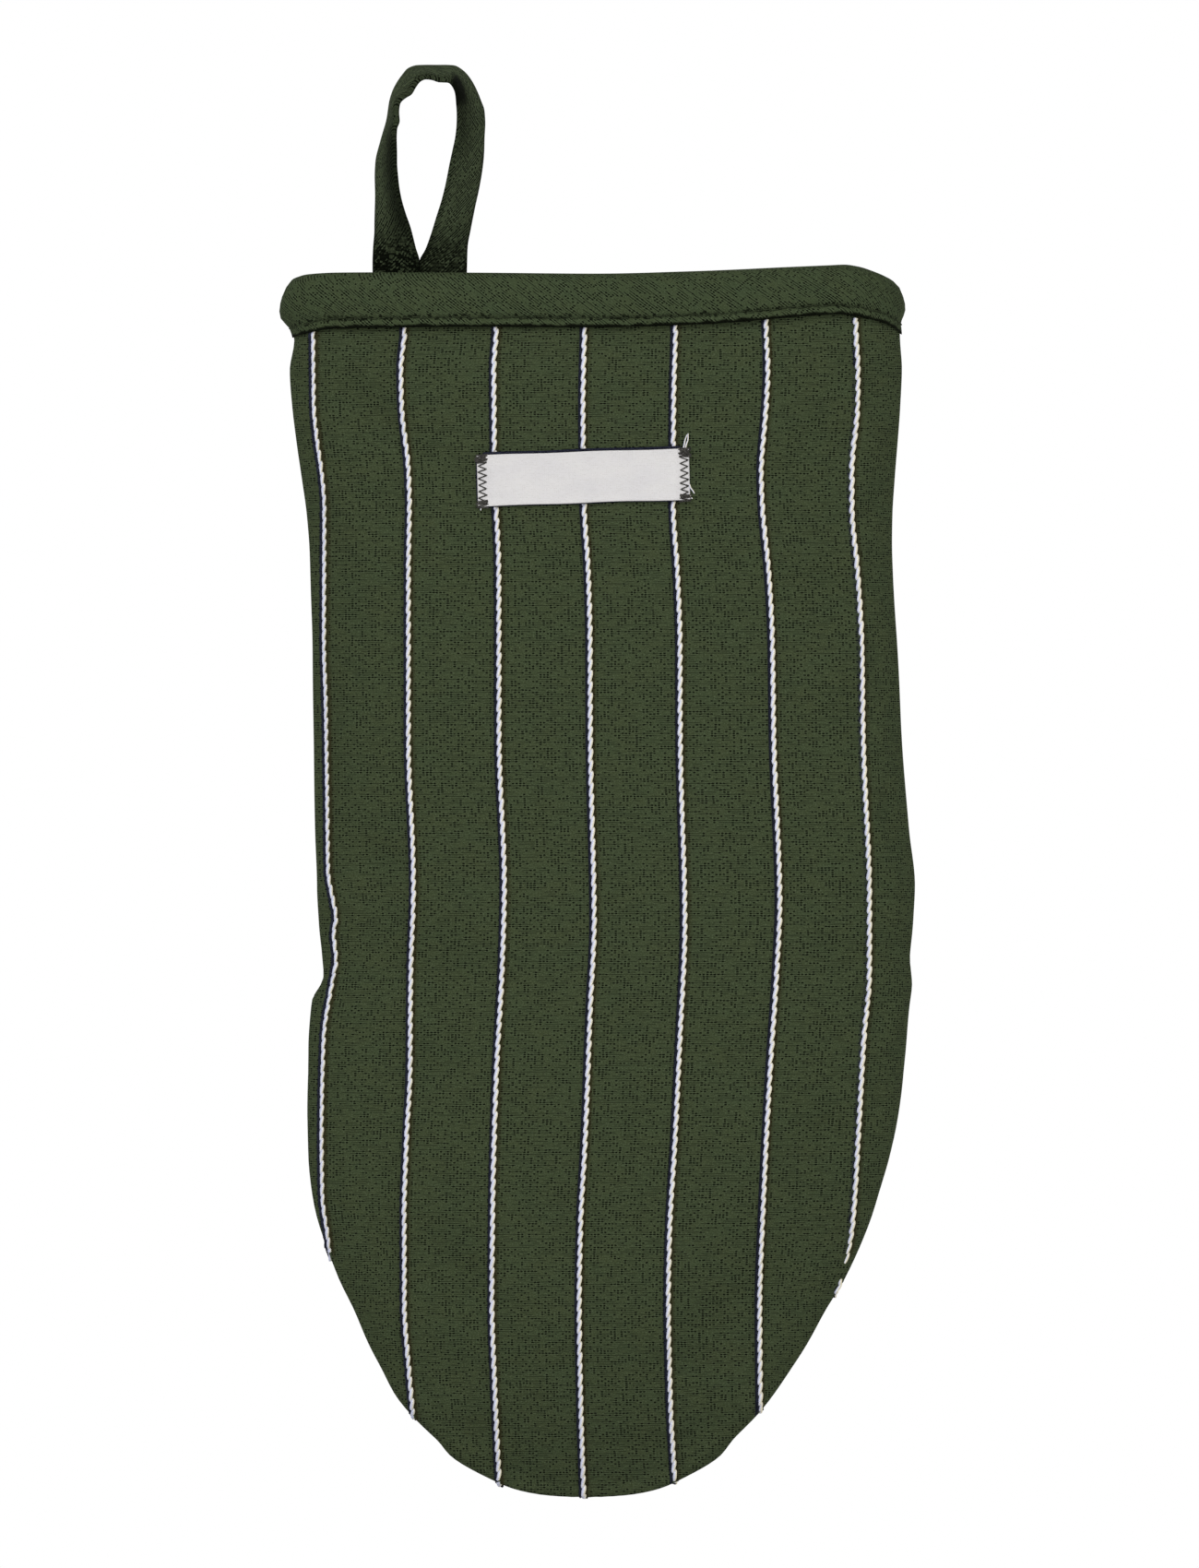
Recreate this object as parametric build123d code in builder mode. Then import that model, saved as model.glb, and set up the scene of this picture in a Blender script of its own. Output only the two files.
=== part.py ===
from build123d import *

import os
from functools import cache
from math import atan2, cos, degrees, radians, sin

# Padded oven mitt with a thumb set in the middle of the palm, a bound cuff and a hanging loop.
# Frame: origin at the centre of the cuff's mouth, +Z up out of the mouth, the back of the hand
# faces -Y and the palm faces +Y. The fingers hang down along -Z. All sizes are in millimetres.

# Cloth layers, from the outside in
OUTER_CLOTH = 0.8
WADDING = 3.6
LINING_CLOTH = 0.6
WALL = OUTER_CLOTH + WADDING + LINING_CLOTH

# Mitt body: half widths and half depths of its oval section, at depths below the mouth
MOUTH_HALF_WIDTH = 83.0
MOUTH_HALF_DEPTH = 23.5
WRIST_DEPTH = 85.0
WRIST_HALF_WIDTH = 78.0
WRIST_HALF_DEPTH = 22.5
HAND_DEPTH = 165.0
HAND_HALF_WIDTH = 80.5
HAND_HALF_DEPTH = 23.0
FINGER_DEPTH = 215.0
FINGER_HALF_WIDTH = 80.0
FINGER_HALF_DEPTH = 22.0
FINGER_TIP_LENGTH = 115.0
SIDE_RADIUS = 15.0

# Rounded tips: their sections lie at these angles of a quarter ellipse
TIP_ANGLES = (25, 48, 68, 85)

# Thumb pocket in the palm: the crotch is the line where the thumb parts from the fingers
CROTCH_DEPTH = 185.0
THUMB_HALF_WIDTH = 34.0
THUMB_HALF_DEPTH = 15.0
THUMB_STRAIGHT_LENGTH = 34.0
THUMB_TIP_LENGTH = 44.0
THUMB_SIDE_RADIUS = 11.0
THUMB_STAND_OFF = 1.0
THUMB_HINGE_GAP = 0.3
ROOT_HEIGHT = 48.0
ROOT_ANGLES = (0, 30, 60, 90)

# Cuff binding: a folded tape over the rim of the mouth
BINDING_WIDTH = 16.0
BINDING_CLOTH = 1.2
BINDING_TOP_RADIUS = 2.2
THREAD = 0.45
BINDING_STITCH_RISE = 2.6

# Raised white yarns woven into the outer cloth
STRIPE_PITCH = 24.2
STRIPE_COUNT = 7
STRIPE_SHIFT = -2.5
STRIPE_WIDTH = 2.2
STRIPE_HEIGHT = 0.9

# Tape label across the back of the hand
LABEL_WIDTH = 57.0
LABEL_HEIGHT = 14.0
LABEL_CLOTH = 0.5
LABEL_SHIFT = -3.0
LABEL_DEPTH = 56.0
LABEL_TILT = 1.6
ZIGZAG_WIDTH = 3.2
ZIGZAG_PITCH = 2.0

# Hanging loop: a folded tape whose two ends are sewn to the inside of the binding
LOOP_FROM_SIDE = 36.5
LOOP_SHIFT = LOOP_FROM_SIDE - MOUTH_HALF_WIDTH
LOOP_HEIGHT = 51.4
LOOP_HALF_WIDTH = 11.0
LOOP_TAPE_WIDTH = 12.0
LOOP_TAPE = 2.4
LOOP_TAPE_ROUNDING = 0.9
LOOP_HINGE_GAP = 0.3
LOOP_TAIL_DEPTH = 15.0

# Left half of the loop's path: share of the half width, share of the height, twist in degrees
LOOP_PATH = (
    (0.58, 0.00, 0),
    (0.66, 0.20, 0),
    (0.88, 0.44, 25),
    (1.00, 0.68, 52),
    (0.70, 0.90, 75),
)

# Places worked out from the sizes above
LOOP_HINGE_RISE = BINDING_CLOTH + LOOP_TAPE / 2 + LOOP_HINGE_GAP
LOOP_INSET = WALL + BINDING_CLOTH
LOOP_Y = -(MOUTH_HALF_DEPTH - LOOP_INSET - LOOP_TAPE)
LOOP_FOOT_X = LOOP_HALF_WIDTH * LOOP_PATH[0][0]
CROTCH_Y = HAND_HALF_DEPTH + STRIPE_HEIGHT + THUMB_STAND_OFF
THUMB_Y = CROTCH_Y + THUMB_STAND_OFF + THUMB_HALF_DEPTH
THUMB_TOP = -CROTCH_DEPTH - THUMB_HINGE_GAP
TALL = 4 * (FINGER_DEPTH + FINGER_TIP_LENGTH)

LAYERS = (
    ("outer", 0.0, OUTER_CLOTH),
    ("wadding", OUTER_CLOTH, OUTER_CLOTH + WADDING),
    ("lining", OUTER_CLOTH + WADDING, WALL),
)


def oval(plane, half_width, half_depth, side_radius):
    """Flat oval of tangent arcs on a plane, with the side arcs split at the seam line."""
    reach = half_width - side_radius
    crown = (reach**2 + half_depth**2 - side_radius**2) / (2 * (half_depth - side_radius))
    turn = degrees(atan2(crown - half_depth, reach))
    with BuildSketch(plane) as section:
        with BuildLine():
            for start, side in ((0, 1), (180, -1)):
                CenterArc((side * reach, 0), side_radius, start, turn)
                CenterArc((0, side * (half_depth - crown)), crown, start + turn, 180 - 2 * turn)
                CenterArc((-side * reach, 0), side_radius, start + 180 - turn, turn)
        make_face()
    return section.sketch


def rounded_tip(centre_y, top, half_width, half_depth, side_radius, length):
    """Solid tip that hangs from the height top and closes on a quarter ellipse."""
    sections = [oval(Plane((0, centre_y, top)), half_width, half_depth, side_radius)]
    for angle in TIP_ANGLES:
        share = cos(radians(angle))
        plane = Plane((0, centre_y, top - length * sin(radians(angle))))
        sections.append(oval(plane, share * half_width, share * half_depth, share * side_radius))
    with BuildPart() as tip:
        loft(sections)
    return tip.part


@cache
def mitt_form(inset):
    """The mitt's solid shape without its thumb, taken in from the outer cloth by inset."""
    stations = (
        (0.0, MOUTH_HALF_WIDTH, MOUTH_HALF_DEPTH),
        (WRIST_DEPTH, WRIST_HALF_WIDTH, WRIST_HALF_DEPTH),
        (HAND_DEPTH, HAND_HALF_WIDTH, HAND_HALF_DEPTH),
        (FINGER_DEPTH, FINGER_HALF_WIDTH, FINGER_HALF_DEPTH),
    )
    with BuildPart() as form:
        loft([
            oval(Plane.XY.offset(-depth), half_width - inset, half_depth - inset, SIDE_RADIUS - inset)
            for depth, half_width, half_depth in stations
        ])
        add(rounded_tip(
            0,
            -FINGER_DEPTH,
            FINGER_HALF_WIDTH - inset,
            FINGER_HALF_DEPTH - inset,
            SIDE_RADIUS - inset,
            FINGER_TIP_LENGTH - inset,
        ))
    return form.part


@cache
def rimmed_form(inset, rise):
    """The mitt's solid shape carried straight up past the mouth by rise."""
    half_width = MOUTH_HALF_WIDTH - inset
    half_depth = MOUTH_HALF_DEPTH - inset
    with BuildPart() as form:
        add(mitt_form(inset))
        extrude(oval(Plane.XY, half_width, half_depth, SIDE_RADIUS - inset), amount=rise)
    return form.part


@cache
def thumb_form(inset):
    """The thumb pocket's solid shape below its hinge line, taken in by inset."""
    half_width = THUMB_HALF_WIDTH - inset
    half_depth = THUMB_HALF_DEPTH - inset
    side_radius = THUMB_SIDE_RADIUS - inset
    with BuildPart() as form:
        top = oval(Plane((0, THUMB_Y, THUMB_TOP)), half_width, half_depth, side_radius)
        extrude(top, amount=-THUMB_STRAIGHT_LENGTH)
        add(rounded_tip(
            THUMB_Y,
            THUMB_TOP - THUMB_STRAIGHT_LENGTH,
            half_width,
            half_depth,
            side_radius,
            THUMB_TIP_LENGTH - inset,
        ))
    return form.part


@cache
def root_form(inset):
    """The cloth elbow that leads from the palm into the thumb, turning about the crotch line."""
    sections = []
    for angle in ROOT_ANGLES:
        half_depth = THUMB_HALF_DEPTH + (ROOT_HEIGHT / 2 - THUMB_HALF_DEPTH) * angle / 90
        out = Vector(0, cos(radians(angle)), sin(radians(angle)))
        centre = Vector(0, CROTCH_Y, -CROTCH_DEPTH) + out * (THUMB_STAND_OFF + half_depth)
        plane = Plane(centre, x_dir=(1, 0, 0), z_dir=Vector(1, 0, 0).cross(out))
        sections.append(
            oval(plane, THUMB_HALF_WIDTH - inset, half_depth - inset, THUMB_SIDE_RADIUS - inset)
        )
    with BuildPart() as form:
        loft(sections)
        extrude(sections[-1], amount=CROTCH_Y)
    return form.part


@cache
def layer(form, start, end):
    """One cloth layer of a form: what lies between two insets."""
    with BuildPart() as shell:
        add(form(start))
        add(form(end), mode=Mode.SUBTRACT)
    return shell.part


def stripe_comb(low, high):
    """Upright plates, one for each woven stripe, between two heights."""
    middle = (STRIPE_COUNT - 1) / 2
    places = [(STRIPE_SHIFT + STRIPE_PITCH * (k - middle), 0, low) for k in range(STRIPE_COUNT)]
    with BuildPart() as comb:
        with Locations(*places):
            Box(STRIPE_WIDTH, TALL, high - low, align=(Align.CENTER, Align.CENTER, Align.MIN))
    return comb.part


def loop_section(before, here, after, twist):
    """Cross-section of the loop's tape at one place on its path, turned by twist."""
    along = (after - before).normalized()
    across = Vector(along.Z, 0, -along.X) * cos(radians(twist)) + Vector(0, 1, 0) * sin(radians(twist))
    with BuildSketch(Plane(here, x_dir=across, z_dir=along)) as section:
        RectangleRounded(LOOP_TAPE_WIDTH, LOOP_TAPE, LOOP_TAPE_ROUNDING)
    return section.sketch


def write(piece, name):
    """Labels a finished piece and writes it as its own file."""
    piece.label = name
    export_step(piece, f"parts/{name}.step")


os.makedirs("parts", exist_ok=True)

# Panels: every panel is three cloth layers, sewn to its neighbours along the seam planes
mitt_solid = mitt_form(0)
thumb_root_solid = root_form(0)
thumb_passage = root_form(WALL)
side_seam = Plane.XZ
cross_seam = Plane.XY.offset(-CROTCH_DEPTH)
thumb_seam = Plane.XZ.offset(-THUMB_Y)

for name, start, end in LAYERS:
    mitt_shell = layer(mitt_form, start, end)
    thumb_shell = layer(thumb_form, start, end)

    with BuildPart() as back:
        add(mitt_shell)
        split(bisect_by=side_seam, keep=Keep.TOP)
    write(back.part, f"back_{name}")

    with BuildPart() as palm_wrist:
        add(mitt_shell)
        split(bisect_by=side_seam, keep=Keep.BOTTOM)
        split(bisect_by=cross_seam, keep=Keep.TOP)
        add(thumb_passage, mode=Mode.SUBTRACT)
    write(palm_wrist.part, f"palm_wrist_{name}")

    with BuildPart() as palm_finger:
        add(mitt_shell)
        split(bisect_by=side_seam, keep=Keep.BOTTOM)
        split(bisect_by=cross_seam, keep=Keep.BOTTOM)
    write(palm_finger.part, f"palm_finger_{name}")

    with BuildPart() as thumb_root:
        add(layer(root_form, start, end))
        add(mitt_solid, mode=Mode.SUBTRACT)
        split(bisect_by=side_seam, keep=Keep.BOTTOM)
    write(thumb_root.part, f"thumb_root_{name}")

    for half, keep in (("cover", Keep.BOTTOM), ("under", Keep.TOP)):
        with BuildPart() as thumb_half:
            add(thumb_shell)
            split(bisect_by=thumb_seam, keep=keep)
        write(thumb_half.part, f"thumb_{half}_{name}")

# Cuff binding: a tape turned over the rim, with its topstitching outside and inside
with BuildPart() as cuff_binding:
    add(rimmed_form(-BINDING_CLOTH, BINDING_CLOTH))
    add(layer(mitt_form, 0, WALL), mode=Mode.SUBTRACT)
    add(rimmed_form(LOOP_INSET, 2 * BINDING_CLOTH), mode=Mode.SUBTRACT)
    split(bisect_by=Plane.XY.offset(-BINDING_WIDTH), keep=Keep.TOP)
    fillet(cuff_binding.faces().sort_by(Axis.Z)[-1].edges(), BINDING_TOP_RADIUS)
write(cuff_binding.part, "cuff_binding")

# Loop ends: the two flat tails of the hanging loop, sewn to the inside of the binding
with BuildPart() as loop_ends:
    with Locations(*[(LOOP_SHIFT + side * LOOP_FOOT_X, 0, -LOOP_TAIL_DEPTH) for side in (-1, 1)]):
        Box(
            LOOP_TAPE_WIDTH,
            TALL,
            LOOP_TAIL_DEPTH + BINDING_CLOTH,
            align=(Align.CENTER, Align.MAX, Align.MIN),
        )
    add(rimmed_form(LOOP_INSET, 2 * BINDING_CLOTH), mode=Mode.INTERSECT)
    add(rimmed_form(LOOP_INSET + LOOP_TAPE, 2 * BINDING_CLOTH), mode=Mode.SUBTRACT)
write(loop_ends.part, "loop_ends")

with BuildPart() as binding_thread:
    add(layer(mitt_form, -BINDING_CLOTH - THREAD, -BINDING_CLOTH))
    add(layer(mitt_form, LOOP_INSET, LOOP_INSET + THREAD))
    split(bisect_by=Plane.XY.offset(BINDING_STITCH_RISE - BINDING_WIDTH), keep=Keep.TOP)
    split(bisect_by=Plane.XY.offset(BINDING_STITCH_RISE - BINDING_WIDTH + THREAD), keep=Keep.BOTTOM)
    add(loop_ends.part, mode=Mode.SUBTRACT)
write(binding_thread.part, "binding_thread")

# Hanging loop: the tape rises flat, twists edge-on over the top and comes down flat again
left = [
    (Vector(-LOOP_HALF_WIDTH * across, 0, LOOP_HEIGHT * up), twist) for across, up, twist in LOOP_PATH
]
right = [(Vector(-place.X, 0, place.Z), 180 - twist) for place, twist in reversed(left)]
path = left + [(Vector(0, 0, LOOP_HEIGHT), 90)] + right
loop_origin = Vector(LOOP_SHIFT, LOOP_Y, LOOP_HINGE_RISE)
places = [loop_origin + place for place, twist in path]
places = [places[0] - Vector(0, 0, LOOP_TAPE)] + places + [places[-1] - Vector(0, 0, LOOP_TAPE)]
with BuildPart() as hanging_loop:
    loft([
        loop_section(places[k], places[k + 1], places[k + 2], twist)
        for k, (place, twist) in enumerate(path)
    ])
    with Locations(*[loop_origin + Vector(side * LOOP_FOOT_X, 0, 0) for side in (-1, 1)]):
        Cylinder(LOOP_TAPE / 2, LOOP_TAPE_WIDTH, rotation=(0, 90, 0))
write(hanging_loop.part, "hanging_loop")

# Woven stripes: raised yarns on the outside of each panel, cut off at the seams
mitt_yarns = layer(mitt_form, -STRIPE_HEIGHT, 0)
mitt_comb = stripe_comb(-TALL, -BINDING_WIDTH)

with BuildPart() as back_stripes:
    add(mitt_yarns)
    split(bisect_by=side_seam, keep=Keep.TOP)
    add(mitt_comb, mode=Mode.INTERSECT)
write(back_stripes.part, "back_stripes")

with BuildPart() as palm_wrist_stripes:
    add(mitt_yarns)
    split(bisect_by=side_seam, keep=Keep.BOTTOM)
    split(bisect_by=cross_seam, keep=Keep.TOP)
    add(mitt_comb, mode=Mode.INTERSECT)
    add(thumb_root_solid, mode=Mode.SUBTRACT)
write(palm_wrist_stripes.part, "palm_wrist_stripes")

with BuildPart() as palm_finger_stripes:
    add(mitt_yarns)
    split(bisect_by=side_seam, keep=Keep.BOTTOM)
    split(bisect_by=cross_seam, keep=Keep.BOTTOM)
    add(mitt_comb, mode=Mode.INTERSECT)
write(palm_finger_stripes.part, "palm_finger_stripes")

with BuildPart() as thumb_stripes:
    add(layer(thumb_form, -STRIPE_HEIGHT, 0))
    split(bisect_by=thumb_seam, keep=Keep.BOTTOM)
    add(mitt_comb, mode=Mode.INTERSECT)
write(thumb_stripes.part, "thumb_stripes")

# Label: a bare tape lying on the stripes, held by a zigzag stitch down each short end
tilt = Vector(cos(radians(LABEL_TILT)), 0, sin(radians(LABEL_TILT)))
label_plane = Plane((LABEL_SHIFT, 0, -LABEL_DEPTH), x_dir=tilt, z_dir=(0, -1, 0))
label_face = STRIPE_HEIGHT + LABEL_CLOTH

with BuildPart() as label:
    with BuildSketch(label_plane):
        Rectangle(LABEL_WIDTH, LABEL_HEIGHT)
    extrude(amount=TALL)
    add(layer(mitt_form, -label_face, -STRIPE_HEIGHT), mode=Mode.INTERSECT)
write(label.part, "label")

with BuildPart() as label_stitches:
    with BuildSketch(label_plane):
        with BuildLine():
            for side in (-1, 1):
                middle = side * (LABEL_WIDTH - ZIGZAG_WIDTH) / 2
                turns = round(LABEL_HEIGHT / ZIGZAG_PITCH)
                Polyline([
                    (
                        middle + (ZIGZAG_WIDTH / 2 - THREAD) * (-1) ** k,
                        ZIGZAG_PITCH * (k - turns) / 2,
                    )
                    for k in range(1, 2 * turns)
                ])
        trace(line_width=THREAD)
    extrude(amount=TALL)
    add(layer(mitt_form, -label_face - THREAD, -label_face), mode=Mode.INTERSECT)
write(label_stitches.part, "label_stitches")
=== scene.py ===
from math import cos, pi, radians, sin, tau

import bpy
import numpy as np
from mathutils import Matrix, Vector


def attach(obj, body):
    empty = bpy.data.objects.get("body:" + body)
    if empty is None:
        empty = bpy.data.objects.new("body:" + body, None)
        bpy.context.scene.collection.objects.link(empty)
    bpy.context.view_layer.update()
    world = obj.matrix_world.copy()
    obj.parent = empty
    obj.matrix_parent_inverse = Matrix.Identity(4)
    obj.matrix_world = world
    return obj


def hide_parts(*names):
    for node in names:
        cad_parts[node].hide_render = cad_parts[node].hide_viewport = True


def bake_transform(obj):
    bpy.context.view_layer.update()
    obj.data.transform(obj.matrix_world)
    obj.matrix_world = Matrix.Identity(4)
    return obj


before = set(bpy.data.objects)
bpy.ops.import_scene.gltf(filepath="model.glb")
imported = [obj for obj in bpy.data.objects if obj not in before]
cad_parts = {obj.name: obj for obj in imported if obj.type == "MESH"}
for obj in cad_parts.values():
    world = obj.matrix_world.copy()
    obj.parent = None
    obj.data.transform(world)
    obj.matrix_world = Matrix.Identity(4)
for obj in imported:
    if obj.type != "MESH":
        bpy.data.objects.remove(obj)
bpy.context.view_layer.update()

# Sizes in millimetres, as in the part's source
MM = 0.001
OUTER_CLOTH, WADDING, LINING_CLOTH = 0.8, 3.6, 0.6
WALL = OUTER_CLOTH + WADDING + LINING_CLOTH
FINGER_DEPTH, TIP_LENGTH, SIDE_RADIUS = 215.0, 115.0, 15.0
FINGER_HALF_DEPTH = 22.0
CROTCH_DEPTH, CROTCH_Y = 185.0, 24.9
THUMB_HALF_WIDTH, THUMB_HALF_DEPTH, THUMB_SIDE_RADIUS = 34.0, 15.0, 11.0
THUMB_STRAIGHT, THUMB_TIP, STAND_OFF = 34.0, 44.0, 1.0
ROOT_HEIGHT = 48.0
BINDING_WIDTH = 16.0
STRIPE_PITCH, STRIPE_SHIFT = 24.2, -2.5
STRIPES = [STRIPE_SHIFT + STRIPE_PITCH * (k - 3) for k in range(7)]
STRIPE_START, STRIPE_END, PAST_STRIPE = 13, 331, 2.5
LOOP_Y, LOOP_RISE = -14.9, 2.7
WINDOW_GAP = 0.25
WINDOW = THUMB_HALF_WIDTH + WINDOW_GAP, ROOT_HEIGHT / 2 + WINDOW_GAP, THUMB_SIDE_RADIUS + WINDOW_GAP
WINDOW_Z = -CROTCH_DEPTH + STAND_OFF + ROOT_HEIGHT / 2
CLOTH_FRAMES, LIFT_CAP = 20, 1.8


# Shapes


def smooth(*points):
    """A curve through (place, value) points that doesn't overshoot them."""
    xs, ys = np.array(points, float).T
    gaps = np.diff(xs)
    rises = np.diff(ys) / gaps
    slopes = np.zeros_like(ys)
    same = rises[:-1] * rises[1:] > 0
    slopes[1:-1][same] = 2 * rises[:-1][same] * rises[1:][same] / (rises[:-1] + rises[1:])[same]
    slopes[0], slopes[-1] = rises[0], rises[-1]

    def value(x):
        x = np.clip(x, xs[0], xs[-1])
        k = np.clip(np.searchsorted(xs, x) - 1, 0, len(gaps) - 1)
        t = (x - xs[k]) / gaps[k]
        start = ys[k] * (1 + 2 * t) * (1 - t) ** 2 + slopes[k] * gaps[k] * t * (1 - t) ** 2
        return start + ys[k + 1] * t * t * (3 - 2 * t) + slopes[k + 1] * gaps[k] * t * t * (t - 1)

    return value


# The mitt's outline against depth below the mouth: its middle and half its width
middle = smooth(
    (0, -0.6), (9, -0.6), (17, 0.6), (26, 0.25), (46, 0.6), (66, 1.3), (86, 2.0), (101, 2.7), (125, 3.4),
    (150, 4.6), (165, 5.7), (184, 5.7), (190, 6.1), (196, 4.4), (203, 3.7), (215, 3.0), (230, 1.9), (250, 0.0),
    (265, -0.5), (279, -1.3), (294, -2.2), (304, -2.9), (314, -2.7), (331, -2.2),
)
half_width = smooth(
    (0, 82.1), (9, 82.0), (17, 81.8), (26, 82.7), (36, 82.2), (46, 81.3), (56, 80.2), (66, 79.2), (76, 78.8),
    (90, 78.9), (110, 79.3), (125, 79.5), (150, 80.3), (165, 80.8), (174, 80.4), (184, 79.85), (189.5, 79.7),
    (196, 80.9), (205, 80.9), (215, 80.5),
)
half_depth = smooth((0, 23.5), (85, 22.5), (165, 23.0), (215, 22.0))
tip_fullness = smooth(
    (0, 1.0), (18, 0.992), (28, 0.973), (35, 0.953), (43, 0.957), (51, 0.978), (59, 0.99), (65, 1.06),
    (72, 1.1), (80, 1.27), (90, 1.5),
)

# How far each woven stripe strays from its straight line on the way down
STRAYS = (
    smooth(
        (18, -0.4), (36, -0.3), (45, 0.5), (54, 1.8), (63, 2.6), (99, 2.5), (117, 3.0), (144, 3.4), (161, 3.6),
        (169, 4.9), (173.6, 5.7), (178, 5.1), (185, 5.7), (190, 4.9), (206, 2.4), (233, 1.8), (248, 2.0),
        (259, 3.4), (268, 4.6),
    ),
    smooth(
        (18, -0.1), (27, -1.0), (36, -0.8), (54, 1.0), (63, 1.3), (81, 1.0), (126, 1.0), (165, 2.4),
        (188, 1.6), (215, 1.4), (233, 0.5), (255, -0.2), (277, -0.2), (295, 1.0), (310, 2.4),
    ),
    smooth(
        (18, 0.3), (27, -0.3), (54, -0.1), (81, 1.0), (126, 1.1), (165, 2.5), (188, 1.9), (215, 0.4),
        (250, -0.6), (277, -0.8), (300, -0.1), (330, 1.2),
    ),
    smooth(
        (18, -0.3), (36, -0.7), (63, -0.4), (81, 0.7), (99, 1.2), (126, 1.3), (175, 2.3), (197, 1.3),
        (233, -0.1), (255, -1.3), (277, -1.7), (304, -1.3), (330, -0.5),
    ),
    smooth(
        (18, -0.2), (36, -0.7), (63, -0.8), (81, 0.3), (99, 1.0), (126, 1.1), (175, 2.3), (206, 1.0),
        (233, -0.3), (259, -1.8), (277, -2.1), (304, -1.5), (330, 0.1),
    ),
    smooth(
        (18, -0.1), (27, 0.3), (36, -0.1), (55, -1.5), (63, -1.2), (81, 0.5), (99, 1.5), (126, 1.9),
        (170, 3.5), (188, 2.7), (215, 0.9), (250, -0.9), (277, -1.8), (304, -1.6), (330, -1.7),
    ),
    smooth(
        (18, -0.2), (27, 0.3), (36, 0.2), (55, -1.3), (63, -1.3), (81, 0.2), (99, 1.3), (126, 1.7), (170, 3.4),
        (188, 3.4), (206, 1.9), (233, 0.4), (259, -1.3), (267.5, -2.9), (271, -3.9), (275, -5.9),
    ),
)

# How the bound rim droops towards its two ends, at its top and at its lower edge
droop = smooth(
    (-86, -9.4), (-84.6, -7.0), (-82.8, -4.6), (-80.6, -3.1), (-77, -2.4), (-68, -2.2), (-31, -2.5), (0, -2.8),
    (26, -2.2), (51, -1.2), (63, -0.7), (67, -0.5), (71, -1.0), (74.5, -2.0), (78, -3.2), (80.6, -4.4),
    (82.2, -5.6), (83.2, -7.5), (85, -10.0),
)
hem_droop = smooth(
    (-86, -1.2), (-80, -0.6), (-70, 0.9), (-30, 1.2), (0, 1.1), (25, 1.7), (40, 2.5), (54, 3.7), (65, 4.3),
    (73, 3.5), (78, 2.6), (83, 0.4),
)


def rim_lift(x, z):
    """How far the droop of the rim and of its lower edge lifts the cloth at a place."""
    return droop(x) * np.exp(np.minimum(z, 0) / 11) + hem_droop(x) * np.exp(-(((z + BINDING_WIDTH) / 12) ** 2))


def stray(x, depth):
    """Sideways stray of the cloth at a place, between the stripes to either side."""
    x, depth = np.broadcast_arrays(np.asarray(x, float), depth)
    strays = np.stack([curve(depth) for curve in STRAYS])
    lines = strays + np.array(STRIPES).reshape(-1, *[1] * x.ndim)
    total = strays[0].copy()
    for k in range(len(STRIPES) - 1):
        share = np.clip((x - lines[k]) / (lines[k + 1] - lines[k]), 0, 1)
        total = total + share * (strays[k + 1] - strays[k])
    return total


def oval(share, width, depth, radius):
    """x and outward reach at a share of the way from the left seam over a panel to the right seam."""
    reach = width - radius
    crown = (reach**2 + depth**2 - radius**2) / (2 * (depth - radius))
    turn = np.arctan2(crown - depth, reach)
    crown_length = crown * (pi / 2 - turn)
    along = (2 * share - 1) * (crown_length + radius * turn)
    length = np.abs(along)
    tilt = np.minimum(length, crown_length) / crown
    angle = turn - np.maximum(length - crown_length, 0) / radius
    on_crown = length <= crown_length
    x = np.where(on_crown, crown * np.sin(tilt), reach + radius * np.cos(angle))
    y = np.where(on_crown, depth - crown + crown * np.cos(tilt), radius * np.sin(angle))
    return np.sign(along) * x, y


def oval_reach(x, width, depth, radius):
    """Outward reach of an oval at x."""
    x = np.abs(x)
    reach = width - radius
    crown = (reach**2 + depth**2 - radius**2) / (2 * (depth - radius))
    join = crown * reach / (crown - radius)
    side = np.sqrt(np.maximum(radius**2 - np.maximum(x - reach, 0) ** 2, 0))
    return np.where(x <= join, depth - crown + np.sqrt(np.maximum(crown**2 - x**2, 0)), side)


def mitt_sections(depths, inset=0.0):
    """Height, middle, half width, half depth and side radius of the mitt at depths below the mouth, which count
    on past the finger depth as degrees round the tip."""
    body = np.minimum(depths, FINGER_DEPTH)
    degrees = np.maximum(depths - FINGER_DEPTH, 0)
    share = np.cos(np.radians(degrees))
    in_tip = degrees > 0
    z = -body - (TIP_LENGTH - inset) * np.sin(np.radians(degrees))
    width, depth = half_width(body), half_depth(body)
    full = share * tip_fullness(degrees)
    width = np.where(in_tip, width * full * (1 - inset / 80), width - inset)
    depth = np.where(in_tip, depth * share * (1 - inset / FINGER_HALF_DEPTH), depth - inset)
    radius = share * (SIDE_RADIUS - inset)
    return z, middle(-z), width, depth, radius


def unit(v):
    return v / np.maximum(np.linalg.norm(v, axis=-1, keepdims=True), 1e-9)


def grid_normals(points):
    """Normals towards the front of a grid of points whose rows run down and columns run right."""
    return unit(np.cross(np.gradient(points, axis=0), np.gradient(points, axis=1)))


def ripple(x, z, seed):
    """Gentle unevenness of padded cloth, outwards."""
    wave = 0.50 * np.sin(x / 21 + 1.3 * seed) * np.sin(z / 37 + 0.4 + seed)
    wave = wave + 0.32 * np.sin(x / 12.5 - z / 27 + 2 * seed) + 0.22 * np.sin(z / 15 + x / 43 + 2.1 * seed)
    return wave + 0.12 * np.sin(x / 5.1 + z / 9.3 + seed) * np.sin(z / 6.7 - x / 31)


PUFF = {}


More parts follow.
